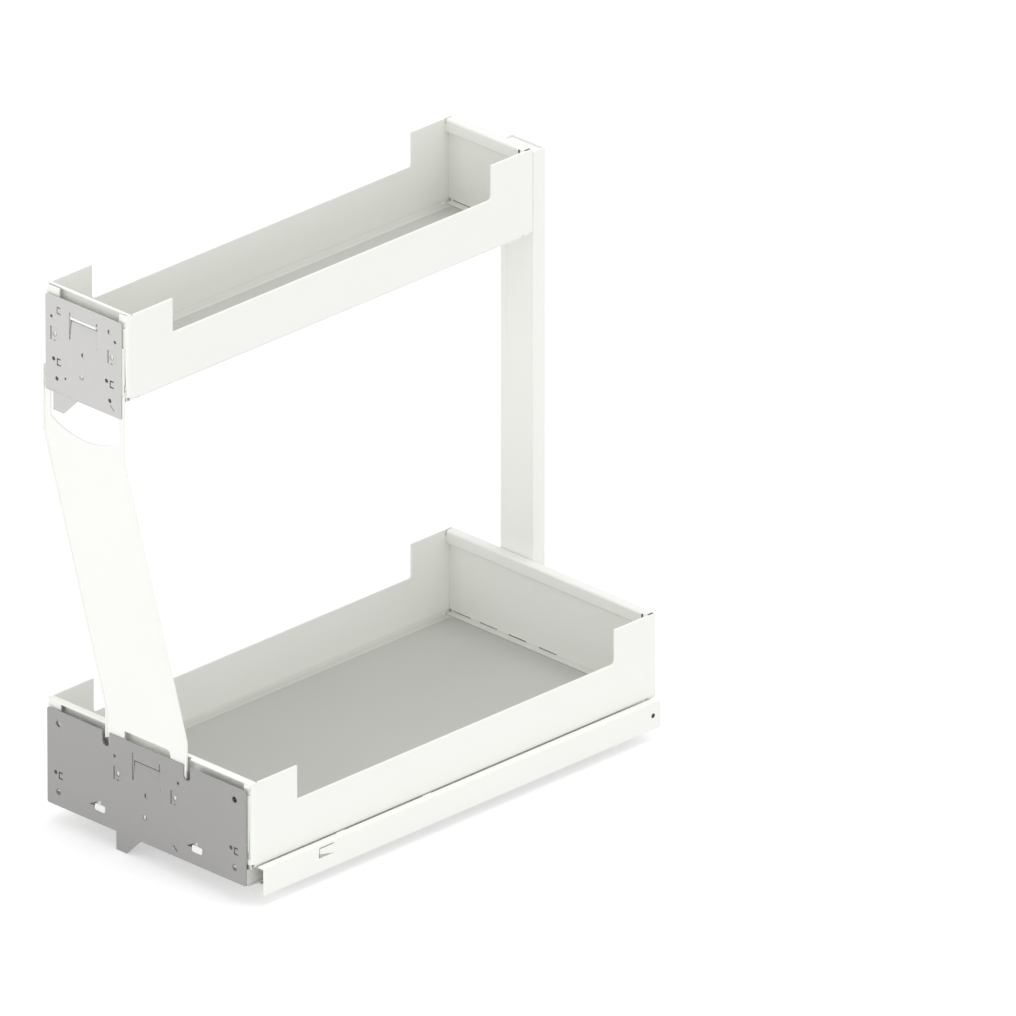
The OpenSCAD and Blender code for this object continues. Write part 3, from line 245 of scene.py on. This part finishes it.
white_coat = powder_coat("warm_white_powder_coat", (247, 248, 243), (244, 245, 240))
# Finishes for blocks of painted shade, set back in cuts where shade falls: a deep grey one and a
# soft grey one.
painted_deep_shade = moulded("painted_deep_shade", (62, 62, 60), (56, 56, 54), 0.8)
painted_soft_shade = moulded("shaded_gap", (190, 190, 184), (184, 184, 178), 0.8)
strip_x, strip_front_y, strip_rear_y, strip_bend_r = 137.5, -243.5, 249.5, 1.6
strip_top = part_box("base_frame")[1][2] / mm
strip_hole_y, strip_hole_z, strip_hole_half, hole_shade_x = 240, 14, 2.2, (-1.3, -0.6)
# The tab's upright slit and its lying slit, each with two opposite corners from its root.
strip_tab_y, strip_tab_z, tab_shade_x = -175.5, 14, (-1.3, -0.7)
strip_tab_slits = [((-0.5, -0.5), (1.2, 10)), ((0.5, -0.5), (19, 4.7))]
# The gap under the strip's lip, which ends a little before the strip does.
lip_gap_x, lip_gap_z, lip_gap_short = (-9.2, -7.8), (-3.2, -0.5), 4


def along_strip(a, b, height):
    return (abs(a.x - strip_x) < 0.1 and abs(b.x - strip_x) < 0.1
            and abs(a.z - height) < 0.1 and abs(b.z - height) < 0.1)


soft_sheet("base_frame", "cabinet_frame", "white_coated_steel", white_coat, 0.3,
           bends=[(lambda a, b: along_strip(a, b, strip_top), strip_bend_r),
                  (lambda a, b: along_strip(a, b, 0), strip_bend_r)])
# Painted shade: a dark block set behind the strip's hole, and soft grey blocks in the tab's
# slits and under the lip.
blocks("strip_hole_painted_shade", "cabinet_frame", painted_deep_shade,
       [[(strip_x + x, strip_hole_y + side * strip_hole_half,
          strip_hole_z + side * strip_hole_half)
         for side, x in zip((-1, 1), hole_shade_x)]])
blocks("strip_tab_painted_shade", "cabinet_frame", painted_soft_shade,
       [[(strip_x + x, strip_tab_y + y, strip_tab_z + z)
         for x, (y, z) in zip(tab_shade_x, slit)] for slit in strip_tab_slits]
       + [((strip_x + lip_gap_x[0], strip_front_y, strip_top + lip_gap_z[0]),
           (strip_x + lip_gap_x[1], strip_rear_y - lip_gap_short, strip_top + lip_gap_z[1]))])


# Cabinet rails: the innermost channels of the two ball runners, rolled from galvanized
# strip and riveted to the base frame. The zinc is a pale grey with faint drawn lines along
# the rail and soft patches where it cooled.
def zinc(name, light, dark, metal, stretch=(60.0, 6.0, 60.0), grain=220.0):
    material, shader, at = new_finish(name, Metallic=metal)
    drawn = at.node("VectorMath", settings={"operation": "MULTIPLY"}, i0=at, i1=stretch)
    lines = at.node("TexNoise", Vector=drawn, Scale=12.0, Detail=4.0)
    patch = at.node("TexVoronoi", Vector=at, Scale=grain, Randomness=0.9)
    cloud = at.node("TexNoise", Vector=at, Scale=9.0, Detail=2.0)
    worn = 0.45 * lines + 0.25 * patch + 0.3 * cloud
    feed(shader, Base_Color=worn.mix(tone(*light), tone(*dark)),
         Roughness=0.32 + 0.22 * worn,
         Normal=at.node("Bump", Strength=0.15, Distance=0.00003, Height=lines))
    return material


def dress(finish, *nodes):
    """Gives CAD nodes that stay as they are their finish."""
    for name in nodes:
        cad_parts[name].data.materials.clear()
        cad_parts[name].data.materials.append(finish)


rail_zinc = zinc("galvanized_rail_steel", (240, 240, 236), (216, 216, 212), 0.25)
rivet_zinc = zinc("bright_zinc_fasteners", (214, 214, 214), (180, 180, 182), 0.7, grain=900.0)
for side in ("left", "right"):
    soft_sheet(side + "_cabinet_rail", "cabinet_frame", "zinc_plated_steel", rail_zinc, 0.25)
dress(rivet_zinc, "cabinet_rail_rivets")

# Soft-close damper: a closed black plastic cylinder in two clips on the base frame, with a
# polished rod and a rubber pad that the striker under the tray meets.
black_plastic = moulded("black_moulded_plastic", (52, 52, 54), (40, 40, 42), 0.45)
soft_rubber = moulded("black_rubber", (38, 38, 38), (28, 28, 29), 0.7)
polished, shader, at = new_finish("polished_steel", Metallic=1.0)
smear = at.node("TexNoise", Vector=at, Scale=160.0, Detail=3.0)
feed(shader, Base_Color=smear.mix(tone(225, 225, 228), tone(205, 205, 209)),
     Roughness=0.12 + 0.12 * smear)
dress(black_plastic, "damper_cylinder")
dress(polished, "damper_rod")
dress(soft_rubber, "damper_pad")
soft_sheet("damper_clips", "cabinet_frame", "dark_plastic", black_plastic, 0.5)
soft_sheet("damper_striker", "pull_out", "zinc_plated_steel", rail_zinc, 0.3)

# Rear buffers: two blocks of moulded black rubber at the rear of the base frame, which the
# tray rails meet when the organizer is pushed home.
soft_sheet("rear_buffers", "cabinet_frame", "black_rubber", soft_rubber, 0.8)

# Middle rails: the channels that run between the cabinet rails and the tray rails, rolled
# from the same galvanized strip. Only the balls hold them, and they travel half as far.
for side in ("left", "right"):
    soft_sheet(side + "_middle_rail", "middle_rails", "zinc_plated_steel", rail_zinc, 0.25)

# Ball cages and balls: U-shaped strips of black plastic between the channels, which space
# two rows of polished steel balls each and roll along with them.
dress(black_plastic, "inner_ball_cages", "outer_ball_cages")
dress(polished, "inner_balls", "outer_balls")

# Tray rails: the outermost channels, riveted under the lower tray with countersunk rivets.
# Their lower edges are turned out into a narrow lip.
for side in ("left", "right"):
    soft_sheet(side + "_tray_rail", "pull_out", "zinc_plated_steel", rail_zinc, 0.35)
dress(rivet_zinc, "tray_rail_rivets")

# Tray shells: floor and long sides of each tray in one bent 2 mm sheet, low in the middle,
# with flanges turned in behind the front plate. The coat darkens a little along the floor as
# painted shade, and blocks of the same coat nearly close the small relief at the foot of each
# front corner.
# Painted shade: the trays' coat darkens to its last tone along their floors.
tray_coat_with_floor_shade = powder_coat("white_powder_coat_with_painted_floor_shade", (247, 248, 243), (244, 245, 240),
                        (207, 208, 202))
front_y, corner_in, corner_half, corner_y, corner_z = -250, 3.2, 1.6, (1.2, 2.2), (1, 6)
for tray, (middle, width, underside) in trays.items():
    soft_sheet(tray + "_tray_shell", "pull_out", "white_coated_steel", tray_coat_with_floor_shade, 0.45)
    corner_xs = [middle + side * (width / 2 - corner_in) for side in (-1, 1)]
    blocks(tray + "_corner_gaps", "pull_out", tray_coat_with_floor_shade,
           [((x - corner_half, front_y + corner_y[0], underside + corner_z[0]),
             (x + corner_half, front_y + corner_y[1], underside + corner_z[1]))
            for x in corner_xs])


# Front walls: 1.5 mm sheet spot welded between a tray's sides, with a foot on the floor and
# a rim turned forward. The lower rim lies over the flanges and is cut back behind the arm;
# the upper one is narrow and stops short of the arm.
def rounded_path(corners, radius, steps=5):
    """A line of places with an arc of the given radius at each right-angled inner corner."""
    path = [Vector(corners[0])]
    for before, corner, after in zip(corners, corners[1:], corners[2:]):
        corner = Vector(corner)
        start = corner + (Vector(before) - corner).normalized() * radius
        end = corner + (Vector(after) - corner).normalized() * radius
        middle = start + end - corner
        for step in range(steps + 1):
            angle = math.pi / 2 * step / steps
            path.append(middle + (start - middle) * math.cos(angle)
                        + (end - middle) * math.sin(angle))
    return path + [Vector(corners[-1])]


def split_path(path, axis, value):
    """Adds a place where the line crosses the given value on one of its two axes."""
    split = [path[0]]
    for a, b in zip(path, path[1:]):
        low, high = a[axis] - value, b[axis] - value
        if low * high < -1e-6:
            split.append(a + (b - a) * (low / (low - high)))
        split.append(b)
    return split


def thicken(piece, thickness, edge):
    """Gives a bare surface the thickness of its sheet, half to each side, and round edges."""
    sheet = piece.modifiers.new("sheet", "SOLIDIFY")
    sheet.thickness, sheet.offset, sheet.use_even_offset = thickness * mm, 0, True
    round_edges(piece, edge, 2)


def folded_wall(node, finish, path, stations, middle, underside, gone):
    """Sweeps a wall's profile across its tray, without the cells that gone names, as sheet."""
    shape = bmesh.new()
    rows = [[shape.verts.new(Vector((middle + s, p.x, underside + p.y)) * mm) for p in path]
            for s in stations]
    for (s0, row), (s1, ahead) in zip(zip(stations, rows), zip(stations[1:], rows[1:])):
        for i in range(len(path) - 1):
            centre = (path[i] + path[i + 1]) / 2
            if not gone((s0 + s1) / 2, centre.x, centre.y):
                shape.faces.new((row[i], row[i + 1], ahead[i + 1], ahead[i])).smooth = True
    bmesh.ops.delete(shape, geom=[v for v in shape.verts if not v.link_faces],
                     context="VERTS")
    mesh = bpy.data.meshes.new(node + "_sheet")
    shape.to_mesh(mesh)
    thicken(new_piece(node + "_sheet", mesh, "pull_out", "white_coated_steel", finish, node),
            wall_t, 0.25)


corner_top, wall_t, wall_back, foot_w, shell_r = 83.8, 1.5, -241.9, 6, 5
half_t = wall_t / 2
rim_depths = {"lower": 8.1, "upper": 3.8}
rim_bend_r, rim_gap, relief_half, relief_d = 0.8, 0.4, 52.4, 3
for tray, (middle, width, underside) in trays.items():
    wall_y = wall_back - half_t
    path = rounded_path([(wall_back - rim_depths[tray], corner_top - half_t),
                         (wall_y, corner_top - half_t), (wall_y, tray_t + half_t),
                         (wall_y + foot_w + half_t, tray_t + half_t)], rim_bend_r)
    path = split_path(split_path(path, 0, front_y + relief_d), 1, shell_r)
    inner, rim_half = width / 2 - tray_t, width / 2 - rim_gap
    cuts = [inner - shell_r + tray_t, inner, rim_half]
    if tray == "lower":
        cuts.insert(0, relief_half)
    stations = [-c for c in reversed(cuts)] + cuts

    def gone(across, y, z):
        relief = tray == "lower" and abs(across) < relief_half and y < front_y + relief_d
        over_side = abs(across) > inner and y > wall_y - rim_bend_r
        over_bend = abs(across) > inner - shell_r + tray_t and z < shell_r
        return relief or over_side or over_bend

    folded_wall(tray + "_front_wall", white_coat, path, stations, middle, underside, gone)

# Rear walls: the same sheet, with a box rim folded at its top, a flange that hangs down
# behind it for the post's screws, and a row of slots along its foot. Their coat is painted a
# little darker as shade, and darker still along the floor. Blocks of painted shade make two dark
# marks at the rim's right end and fill the foot slots, one slot of each row darker than the
# others.
# Painted shade: this coat is the white coat a few steps darker, with a darker foot tone.
shaded_rear_wall_coat = powder_coat("white_powder_coat_painted_darker_on_rear_walls", (239, 240, 235),
                        (236, 237, 232), (214, 215, 209))
# Painted shade: grey blocks set in the foot slots, and a darker one in one slot of each row.
painted_slot_shade = moulded("painted_foot_slot_shade", (140, 140, 135), (134, 134, 129), 0.8)
post_y, rear_rim_d, rear_rim_h, wall_step, flange_h, wall_bend_r = 254, 10.5, 13.6, 4.5, 81, 1.75
rim_slot_w, rim_slot_l, rim_slot_h = 1.2, 6, 4
slot_shares, slot_l, slot_low, slot_high = (0.02, 0.15, 0.29, 0.44), 22, 2.8, 4.4
slot_shade_y, darkest_slot = (0.3, 1.1), {"lower": 2, "upper": 1}
# The opposite corners of the painted-shade marks, from the top of the rim's right front corner.
rim_shade_marks = [((-2.2, 0.9, -1), (-0.8, 6.9, 0.03)), ((-9.1, -0.05, -4.6), (-7.2, 0.5, -1))]
for tray, (middle, width, underside) in trays.items():
    rim_y = post_y - rear_rim_d
    rim_low = corner_top - rear_rim_h
    wall_face = rim_y + wall_step
    wall_y = wall_face + half_t
    path = rounded_path([(post_y - half_t, corner_top - flange_h),
                         (post_y - half_t, corner_top - half_t),
                         (rim_y + half_t, corner_top - half_t),
                         (rim_y + half_t, rim_low + half_t),
                         (wall_y, rim_low + half_t), (wall_y, tray_t + half_t),
                         (wall_y - foot_w - half_t, tray_t + half_t)], wall_bend_r)
    for axis, value in ((1, shell_r), (1, slot_low + half_t), (1, slot_high + half_t),
                        (1, corner_top - wall_t - rim_slot_h),
                        (0, rim_y + wall_t + rim_slot_l)):
        path = split_path(path, axis, value)
    inner = width / 2 - tray_t
    starts = [-inner + share * trays["lower"][1] for share in slot_shares]
    slots = [(a, a + slot_l) for a in starts if a + slot_l < inner - shell_r]
    cuts = {inner, inner - rim_slot_w, inner - shell_r + tray_t}
    stations = sorted({-c for c in cuts} | cuts | {x for s in slots for x in s})

    def gone(across, y, z):
        foot_slot = (any(a < across < b for a, b in slots) and abs(y - wall_y) < half_t
                     and slot_low + half_t < z < slot_high + half_t)
        rim_end = (abs(across) > inner - rim_slot_w and z > corner_top - wall_t - rim_slot_h
                   and y < rim_y + wall_t + rim_slot_l)
        over_bend = (abs(across) > inner - shell_r + tray_t and z < shell_r
                     and y < post_y - wall_t)
        return foot_slot or rim_end or over_bend

    folded_wall(tray + "_rear_wall", shaded_rear_wall_coat, path, stations, middle, underside, gone)
    painted_slot_shades = [((middle + a, wall_face + slot_shade_y[0], underside + slot_low),
                  (middle + b, wall_face + slot_shade_y[1], underside + slot_high))
                 for a, b in slots]
    darkest = painted_slot_shades.pop(darkest_slot[tray])
    rim_corner = Vector((middle + width / 2, rim_y, underside + corner_top))
    # Painted shade: dark blocks in the rim's end slots and in the darkest foot slot, grey ones
    # in the others.
    blocks(tray + "_rear_wall_painted_shades", "pull_out", painted_deep_shade,
           [(rim_corner + Vector(low), rim_corner + Vector(high)) for low, high in rim_shade_marks]
           + [darkest])
    blocks(tray + "_painted_foot_slot_shades", "pull_out", painted_slot_shade, painted_slot_shades)

# Floor mats: loose 0.8 mm sheets of grey plastic, embossed with a fine pebbled grain and
# cut with round corners. They lie on the trays' floors and are not fixed.
mat_finish, shader, at = new_finish("grey_embossed_mat", Specular_IOR_Level=0.3)
pebble = at.node("TexVoronoi", Vector=at, Scale=650.0, Randomness=1.0)
cloud = at.node("TexNoise", Vector=at, Scale=5.0, Detail=3.0)
feed(shader, Base_Color=cloud.mix(tone(188, 189, 184), tone(183, 184, 179)),
     Roughness=0.55 + 0.15 * cloud,
     Normal=at.node("Bump", Strength=0.25, Distance=0.00008, Height=pebble))
for tray in trays:
    soft_sheet(tray + "_floor_mat", "pull_out", "grey_mat", mat_finish, 0.2)

# Front plates: 1.5 mm zinc-plated sheet that the cabinet's front is screwed to, with its
# holes, slits, leaning tongue and pointed prong punched in one stroke. The lower plate is
# a darker grey than the upper one. Round beads are pressed round the slotted pads.
brushed, plate_grain = (20.0, 20.0, 90.0), 420.0
plate_finish = {
    "lower": zinc("dark_grey_zinc", (161, 160, 159), (155, 154, 153), 0.0, brushed, plate_grain),
    "upper": zinc("pale_grey_zinc", (205, 204, 202), (199, 198, 196), 0.0, brushed, plate_grain)}
plate_front, plate_drop = -253, 15.4
pad_x, pad_z, pad_half, pad_flat, bead_r = 35.6, 56.2, 6.0, -3.6, 0.18
for tray, (middle, width, underside) in trays.items():
    soft_sheet(tray + "_front_plate", "pull_out", "grey_zinc_plate", plate_finish[tray], 0.25)
    line = bpy.data.curves.new(tray + "_pad_beads", "CURVE")
    line.dimensions, line.bevel_depth, line.bevel_resolution = "3D", bead_r * mm, 2
    for side in (-1, 1):
        centre = Vector((middle + side * pad_x, plate_front, underside - plate_drop + pad_z))
        places = [centre + Vector((pad_flat, 0, -pad_half))]
        for step in range(13):
            angle = math.radians(-90 + 15 * step)
            places.append(centre + Vector((pad_half * math.cos(angle), 0,
                                           pad_half * math.sin(angle))))
        places.append(centre + Vector((pad_flat, 0, pad_half)))
        spline = line.splines.new("POLY")
        spline.points.add(len(places) - 1)
        for point, place in zip(spline.points, places):
            point.co = (*(place * mm), 1)
    beads = bpy.data.objects.new(tray + "_pad_beads", line)
    bpy.context.scene.collection.objects.link(beads)
    line.materials.append(plate_finish[tray])
    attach(beads, "pull_out")

# Painted shade in the plates' small holes and slits: dark blocks set back in them, and in each
# hole where the arm shows behind, a dark crescent beside a block of the plate's grey. A spot is
# its place from the middle of the plate's lower edge, half its width and half its height.
# A few holes are closed nearly flush with the plate's own sheet.
plate_painted_shade = moulded("plate_painted_shade", (84, 84, 83), (78, 78, 77), 0.8)
angle_marks = {"lower": [(-109.5, 30.4), (109.5, 30.4)], "upper": [(-33, 30.4), (33, 30.4)]}
mark_spots = [(-4, 1.8, 2.3, 2.3), (0.6, 0, 0.7, 3.6), (2.6, -2.9, 2.6, 0.7),
              (2.6, 2.9, 2.6, 0.7)]
low_holes = [(-33, 14, 2.3, 2.3), (33, 14, 2.3, 2.3), (-22.3, 17.1, 1.5, 1.5)]
prong_slit, high_hole = (-0.4, 24.7, 0.8, 2.8), (-37, 81.8, 2.3, 2.3)
side_hole_x, side_hole_z, side_hole = 39.6, 72.4, (0, 0, 1.8, 1.8)
pad_slits = [(-4.6, 0, 0.8, 6.7), (2.2, 0, 0.6, 2.6)]
arm_holes = {"lower": [(0, 46.5)], "upper": [(0, 46.5), (33, 80)]}
crescent_spot, arm_spot = (-1.8, 0, 1.0, 2.8), (1, 0, 1.8, 2.8)
spot_back, spot_set, flush_set = 1.2, 0.5, 0.05


def spots_at(places, shapes):
    return [(x + dx, z + dz, half_x, half_z) for x, z in places
            for dx, dz, half_x, half_z in shapes]


for tray, (middle, width, underside) in trays.items():
    dark = [prong_slit] + (low_holes if tray == "upper" else [])
    for side in (-1, 1):
        dark += spots_at([(side * side_hole_x, side_hole_z)], [side_hole])
        dark += spots_at([(side * pad_x, pad_z)], pad_slits)
    dark += spots_at(angle_marks[tray], mark_spots) + spots_at(arm_holes[tray], [crescent_spot])
    pale = spots_at(arm_holes[tray], [arm_spot])
    closed = [high_hole] if tray == "upper" else low_holes
    plate_z = underside - plate_drop
    # Dark blocks of painted shade, plate-grey backs and flush plugs.
    for kind, finish, spots, depth in (("shades", plate_painted_shade, dark, spot_set),
                                       ("backs", plate_finish[tray], pale, spot_set),
                                       ("plugs", plate_finish[tray], closed, flush_set)):
        blocks(tray + "_plate_" + kind, "pull_out", finish,
               [((middle + x - half_x, plate_front + depth, plate_z + z - half_z),
                 (middle + x + half_x, plate_front + spot_back, plate_z + z + half_z))
                for x, z, half_x, half_z in spots])

# Height adjusters: two cams of white plastic seated in the lower plate, and the white
# spacers behind both plates.
white_plastic = moulded("white_moulded_plastic", (244, 244, 240), (238, 238, 234), 0.4)
soft_sheet("height_adjusters", "pull_out", "white_plastic", white_plastic, 0.4)
dress(white_plastic, "plate_spacers")

# Front arm: 1.5 mm sheet with a low flange bent forward along both edges, cranked twice so
# that it leads from the middle of the lower plate to the upper one. The hand hole is cut
# out below the upper plate, and a ridge on a tab stands in that plate's cut. Powder coated.
arm_half, arm_back, arm_t, arm_flange_front, arm_bend_r = 50.6, -250, 1.5, -253.5, 1.6
low_tray_z, high_tray_z, upper_x = trays["lower"][2], trays["upper"][2], trays["upper"][0]
low_plate_z, high_plate_z = low_tray_z - plate_drop, high_tray_z - plate_drop
flange_low_z, flange_high_z = low_plate_z + 87.4, high_plate_z + 23
crank_low_z, crank_high_z = low_tray_z + 99.1, low_tray_z + 345.4
chain = [(0, flange_low_z), (0, crank_low_z), (upper_x, crank_high_z), (upper_x, flange_high_z)]
foot_z, top_z = low_plate_z + 10, high_plate_z + 68
tab_half, ridge_half, ridge_z, ridge_h = 23.6, 14.95, high_plate_z + 76.5, 2.6
grip_half, grip_side_z, grip_floor_z = 42.5, high_plate_z - 24.5, high_plate_z - 36
grip_top_z, grip_steps = high_plate_z + 5.8, 24
window_half, window_low, window_high = 28.8, low_plate_z + 91.5, low_tray_z + 84.2
window_r, window_cut = 4, 1.2
tongue_half, tongue_low, tongue_high = 17.6, 54.5, 76.5


def offset_chain(points, inset, side):
    """The chain moved inwards by inset from the arm's left (-1) or right (1) edge."""
    line = [Vector((x + side * arm_half, z)) for x, z in points]
    normals = []
    for a, b in zip(line, line[1:]):
        along = (b - a).normalized()
        normals.append(Vector((-along.y, along.x)) * side)
    moved = []
    for i, point in enumerate(line):
        before, after = normals[max(i - 1, 0)], normals[min(i, len(normals) - 1)]
        moved.append(point + (before + after) * inset / (1 + before.dot(after)))
    return moved


web_y = arm_back - arm_t / 2
profile = [(arm_t / 2, arm_flange_front), (arm_t / 2, web_y - arm_bend_r)]
for step in range(1, 6):
    angle = math.pi / 2 * step / 5
    profile.append((arm_t / 2 + arm_bend_r * (1 - math.cos(angle)),
                    web_y - arm_bend_r * (1 - math.sin(angle))))
shape = bmesh.new()
edge_lines = {}
for side in (-1, 1):
    rows = [[shape.verts.new(Vector((p.x, y, p.y)) * mm) for p in offset_chain(chain, d, side)]
            for d, y in profile]
    for row, ahead in zip(rows, rows[1:]):
        for i in range(len(chain) - 1):
            shape.faces.new((row[i], row[i + 1], ahead[i + 1], ahead[i]))
    edge_lines[side] = rows[-1]


def web_loop(places):
    """A closed ring of edges in the arm's flat web, through new places and given corners."""
    verts = [p if isinstance(p, bmesh.types.BMVert)
             else shape.verts.new(Vector((p[0], web_y, p[1])) * mm) for p in places]
    ring = []
    for a, b in zip(verts, verts[1:] + verts[:1]):
        ring.append(shape.edges.get((a, b)) or shape.edges.new((a, b)))
    return ring


web_half = arm_half - arm_t / 2 - arm_bend_r
web = web_loop([(-web_half, foot_z)] + edge_lines[-1]
               + [(upper_x - web_half, top_z), (upper_x - tab_half, top_z),
                  (upper_x - tab_half, ridge_z + ridge_h),
                  (upper_x + tab_half, ridge_z + ridge_h),
                  (upper_x + tab_half, top_z), (upper_x + web_half, top_z)]
               + edge_lines[1][::-1] + [(web_half, foot_z)])
sag = grip_side_z - grip_floor_z
grip_r = (grip_half ** 2 + sag ** 2) / (2 * sag)
grip_arc = math.asin(grip_half / grip_r)
grip = [(upper_x + grip_r * math.sin(a), grip_floor_z + grip_r * (1 - math.cos(a)))
        for a in (grip_arc * (1 - 2 * step / grip_steps) for step in range(grip_steps + 1))]
web += web_loop([(upper_x - grip_half, grip_top_z), (upper_x + grip_half, grip_top_z)] + grip)
web += web_loop([(-window_half, window_low), (window_half, window_low),
                 (window_half, window_high - window_r),
                 (window_half - window_cut, window_high - window_cut),
                 (window_half - window_r, window_high), (-window_half, window_high)])
for x, base in ((0, low_plate_z), (upper_x, high_plate_z)):
    web += web_loop([(x - tongue_half, base + tongue_low), (x + tongue_half, base + tongue_low),
                     (x + tongue_half, base + tongue_high),
                     (x - tongue_half, base + tongue_high)])
bmesh.ops.triangle_fill(shape, use_beauty=True, use_dissolve=False, edges=web)
ridge = [[shape.verts.new(Vector((upper_x + side * ridge_half, y, ridge_z + up)) * mm)
          for side, up in ((-1, arm_t / 2), (1, arm_t / 2), (1, ridge_h - arm_t / 2),
                           (-1, ridge_h - arm_t / 2))]
         for y in (arm_back - arm_t, arm_back - 1.5 * arm_t)]
shape.faces.new(ridge[1])
for i in range(4):
    shape.faces.new((ridge[0][i - 1], ridge[0][i], ridge[1][i], ridge[1][i - 1]))
bmesh.ops.recalc_face_normals(shape, faces=shape.faces)
for face in shape.faces:
    face.smooth = True
mesh = bpy.data.meshes.new("front_arm_sheet")
shape.to_mesh(mesh)
thicken(new_piece("front_arm_sheet", mesh, "pull_out", "white_coated_steel", white_coat,
                  "front_arm"), arm_t, 0.3)

# Rear post: a welded rectangular tube with round corners, screwed to both rear walls through
# its front face. The larger holes in its rear face let the screws in. Powder coated. A white
# plastic plug closes its open top.
post_low, post_high = (Vector(corner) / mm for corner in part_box("rear_post"))
post_corner_r, plug_in, plug_down, plug_h = 2.2, 1.6, 2, 8


def post_corner(a, b):
    outside = (min(a.x - post_low.x, post_high.x - a.x) < 0.1
               and min(a.y - post_low.y, post_high.y - a.y) < 0.1)
    return outside and abs(a.z - b.z) > post_high.x - post_low.x


soft_sheet("rear_post", "pull_out", "white_coated_steel", white_coat, 0.3,
           [(post_corner, post_corner_r)])
plug = blocks("rear_post_plug", "pull_out", white_plastic,
              [((post_low.x + plug_in, post_low.y + plug_in, post_high.z - plug_down - plug_h),
                (post_high.x - plug_in, post_high.y - plug_in, post_high.z - plug_down))],
              "white_plastic")
round_edges(plug, 0.5, 2)

# Screws and rivets: bright zinc-plated steel. They hold the plates and the arm to the trays,
# and the post to both rear walls.
dress(rivet_zinc, "plate_screws", "arm_rivets", "post_screws")

# Floor: a pale studio floor just under the lowest edge. It keeps the organizer's soft shadow,
# and glows a little for the camera and in reflections, so that it comes out white.
floor_z, floor_half, glow_level, glow_share = cad_box[0][2] - 0.5 * mm, 6, 1.6, 0.3
floor_mesh = bpy.data.meshes.new("studio_floor")
shape = bmesh.new()
bmesh.ops.create_grid(shape, x_segments=4, y_segments=4, size=floor_half)
for corner in shape.verts:
    corner.co.z = floor_z
shape.to_mesh(floor_mesh)
floor = bpy.data.objects.new("studio_floor", floor_mesh)
bpy.context.scene.collection.objects.link(floor)
ground, shader, at = new_finish("pale_studio_floor", Roughness=0.9)
feed(shader, Base_Color=at.node("TexNoise", Vector=at, Scale=2.0)
     .mix(tone(247, 247, 247), tone(249, 249, 249)))


def seen_directly(tree):
    """One on the rays by which the camera, metal and glass see a surface."""
    rays = tree.nodes.new("ShaderNodeLightPath")
    return (Sock(tree, rays.outputs["Is Camera Ray"]) + Sock(tree, rays.outputs["Is Glossy Ray"])
            + Sock(tree, rays.outputs["Is Transmission Ray"]))


lit = Sock(ground.node_tree, shader.outputs[0])
glow = at.node("Emission", Strength=glow_level)
shown = at.node("MixShader", i0=glow_share * seen_directly(ground.node_tree), i1=lit, i2=glow)
ground.node_tree.links.new(shown.out, ground.node_tree.nodes["Material Output"].inputs[0])
floor_mesh.materials.append(ground)

# Light: an even white surround and three large soft lamps at low level, on the right for the
# long sides, in front for the plates and the arm, and high up for the rims and the mats.
surround, lamp_size = 0.75, 4.0
world = bpy.data.worlds.new("studio")
world.use_nodes = True
bpy.context.scene.world = world
sky = world.node_tree.nodes["Background"]
level = surround + (1 - surround) * seen_directly(world.node_tree)
world.node_tree.links.new(level.out, sky.inputs["Strength"])
sky.inputs["Color"].default_value = (1, 1, 1, 1)
for name, place, watts in (("right_lamp", (6.0, -1.8, 1.6), 32),
                           ("front_lamp", (-0.5, -6.0, 1.8), 66),
                           ("top_lamp", (0.5, 1.0, 6.2), 140)):
    lamp = bpy.data.objects.new(name, bpy.data.lights.new(name, "AREA"))
    lamp.data.size, lamp.data.energy = lamp_size, watts
    lamp.location = place
    lamp.rotation_mode = "QUATERNION"
    lamp.rotation_quaternion = (aim - Vector(place)).to_track_quat("-Z", "Y")
    bpy.context.scene.collection.objects.link(lamp)
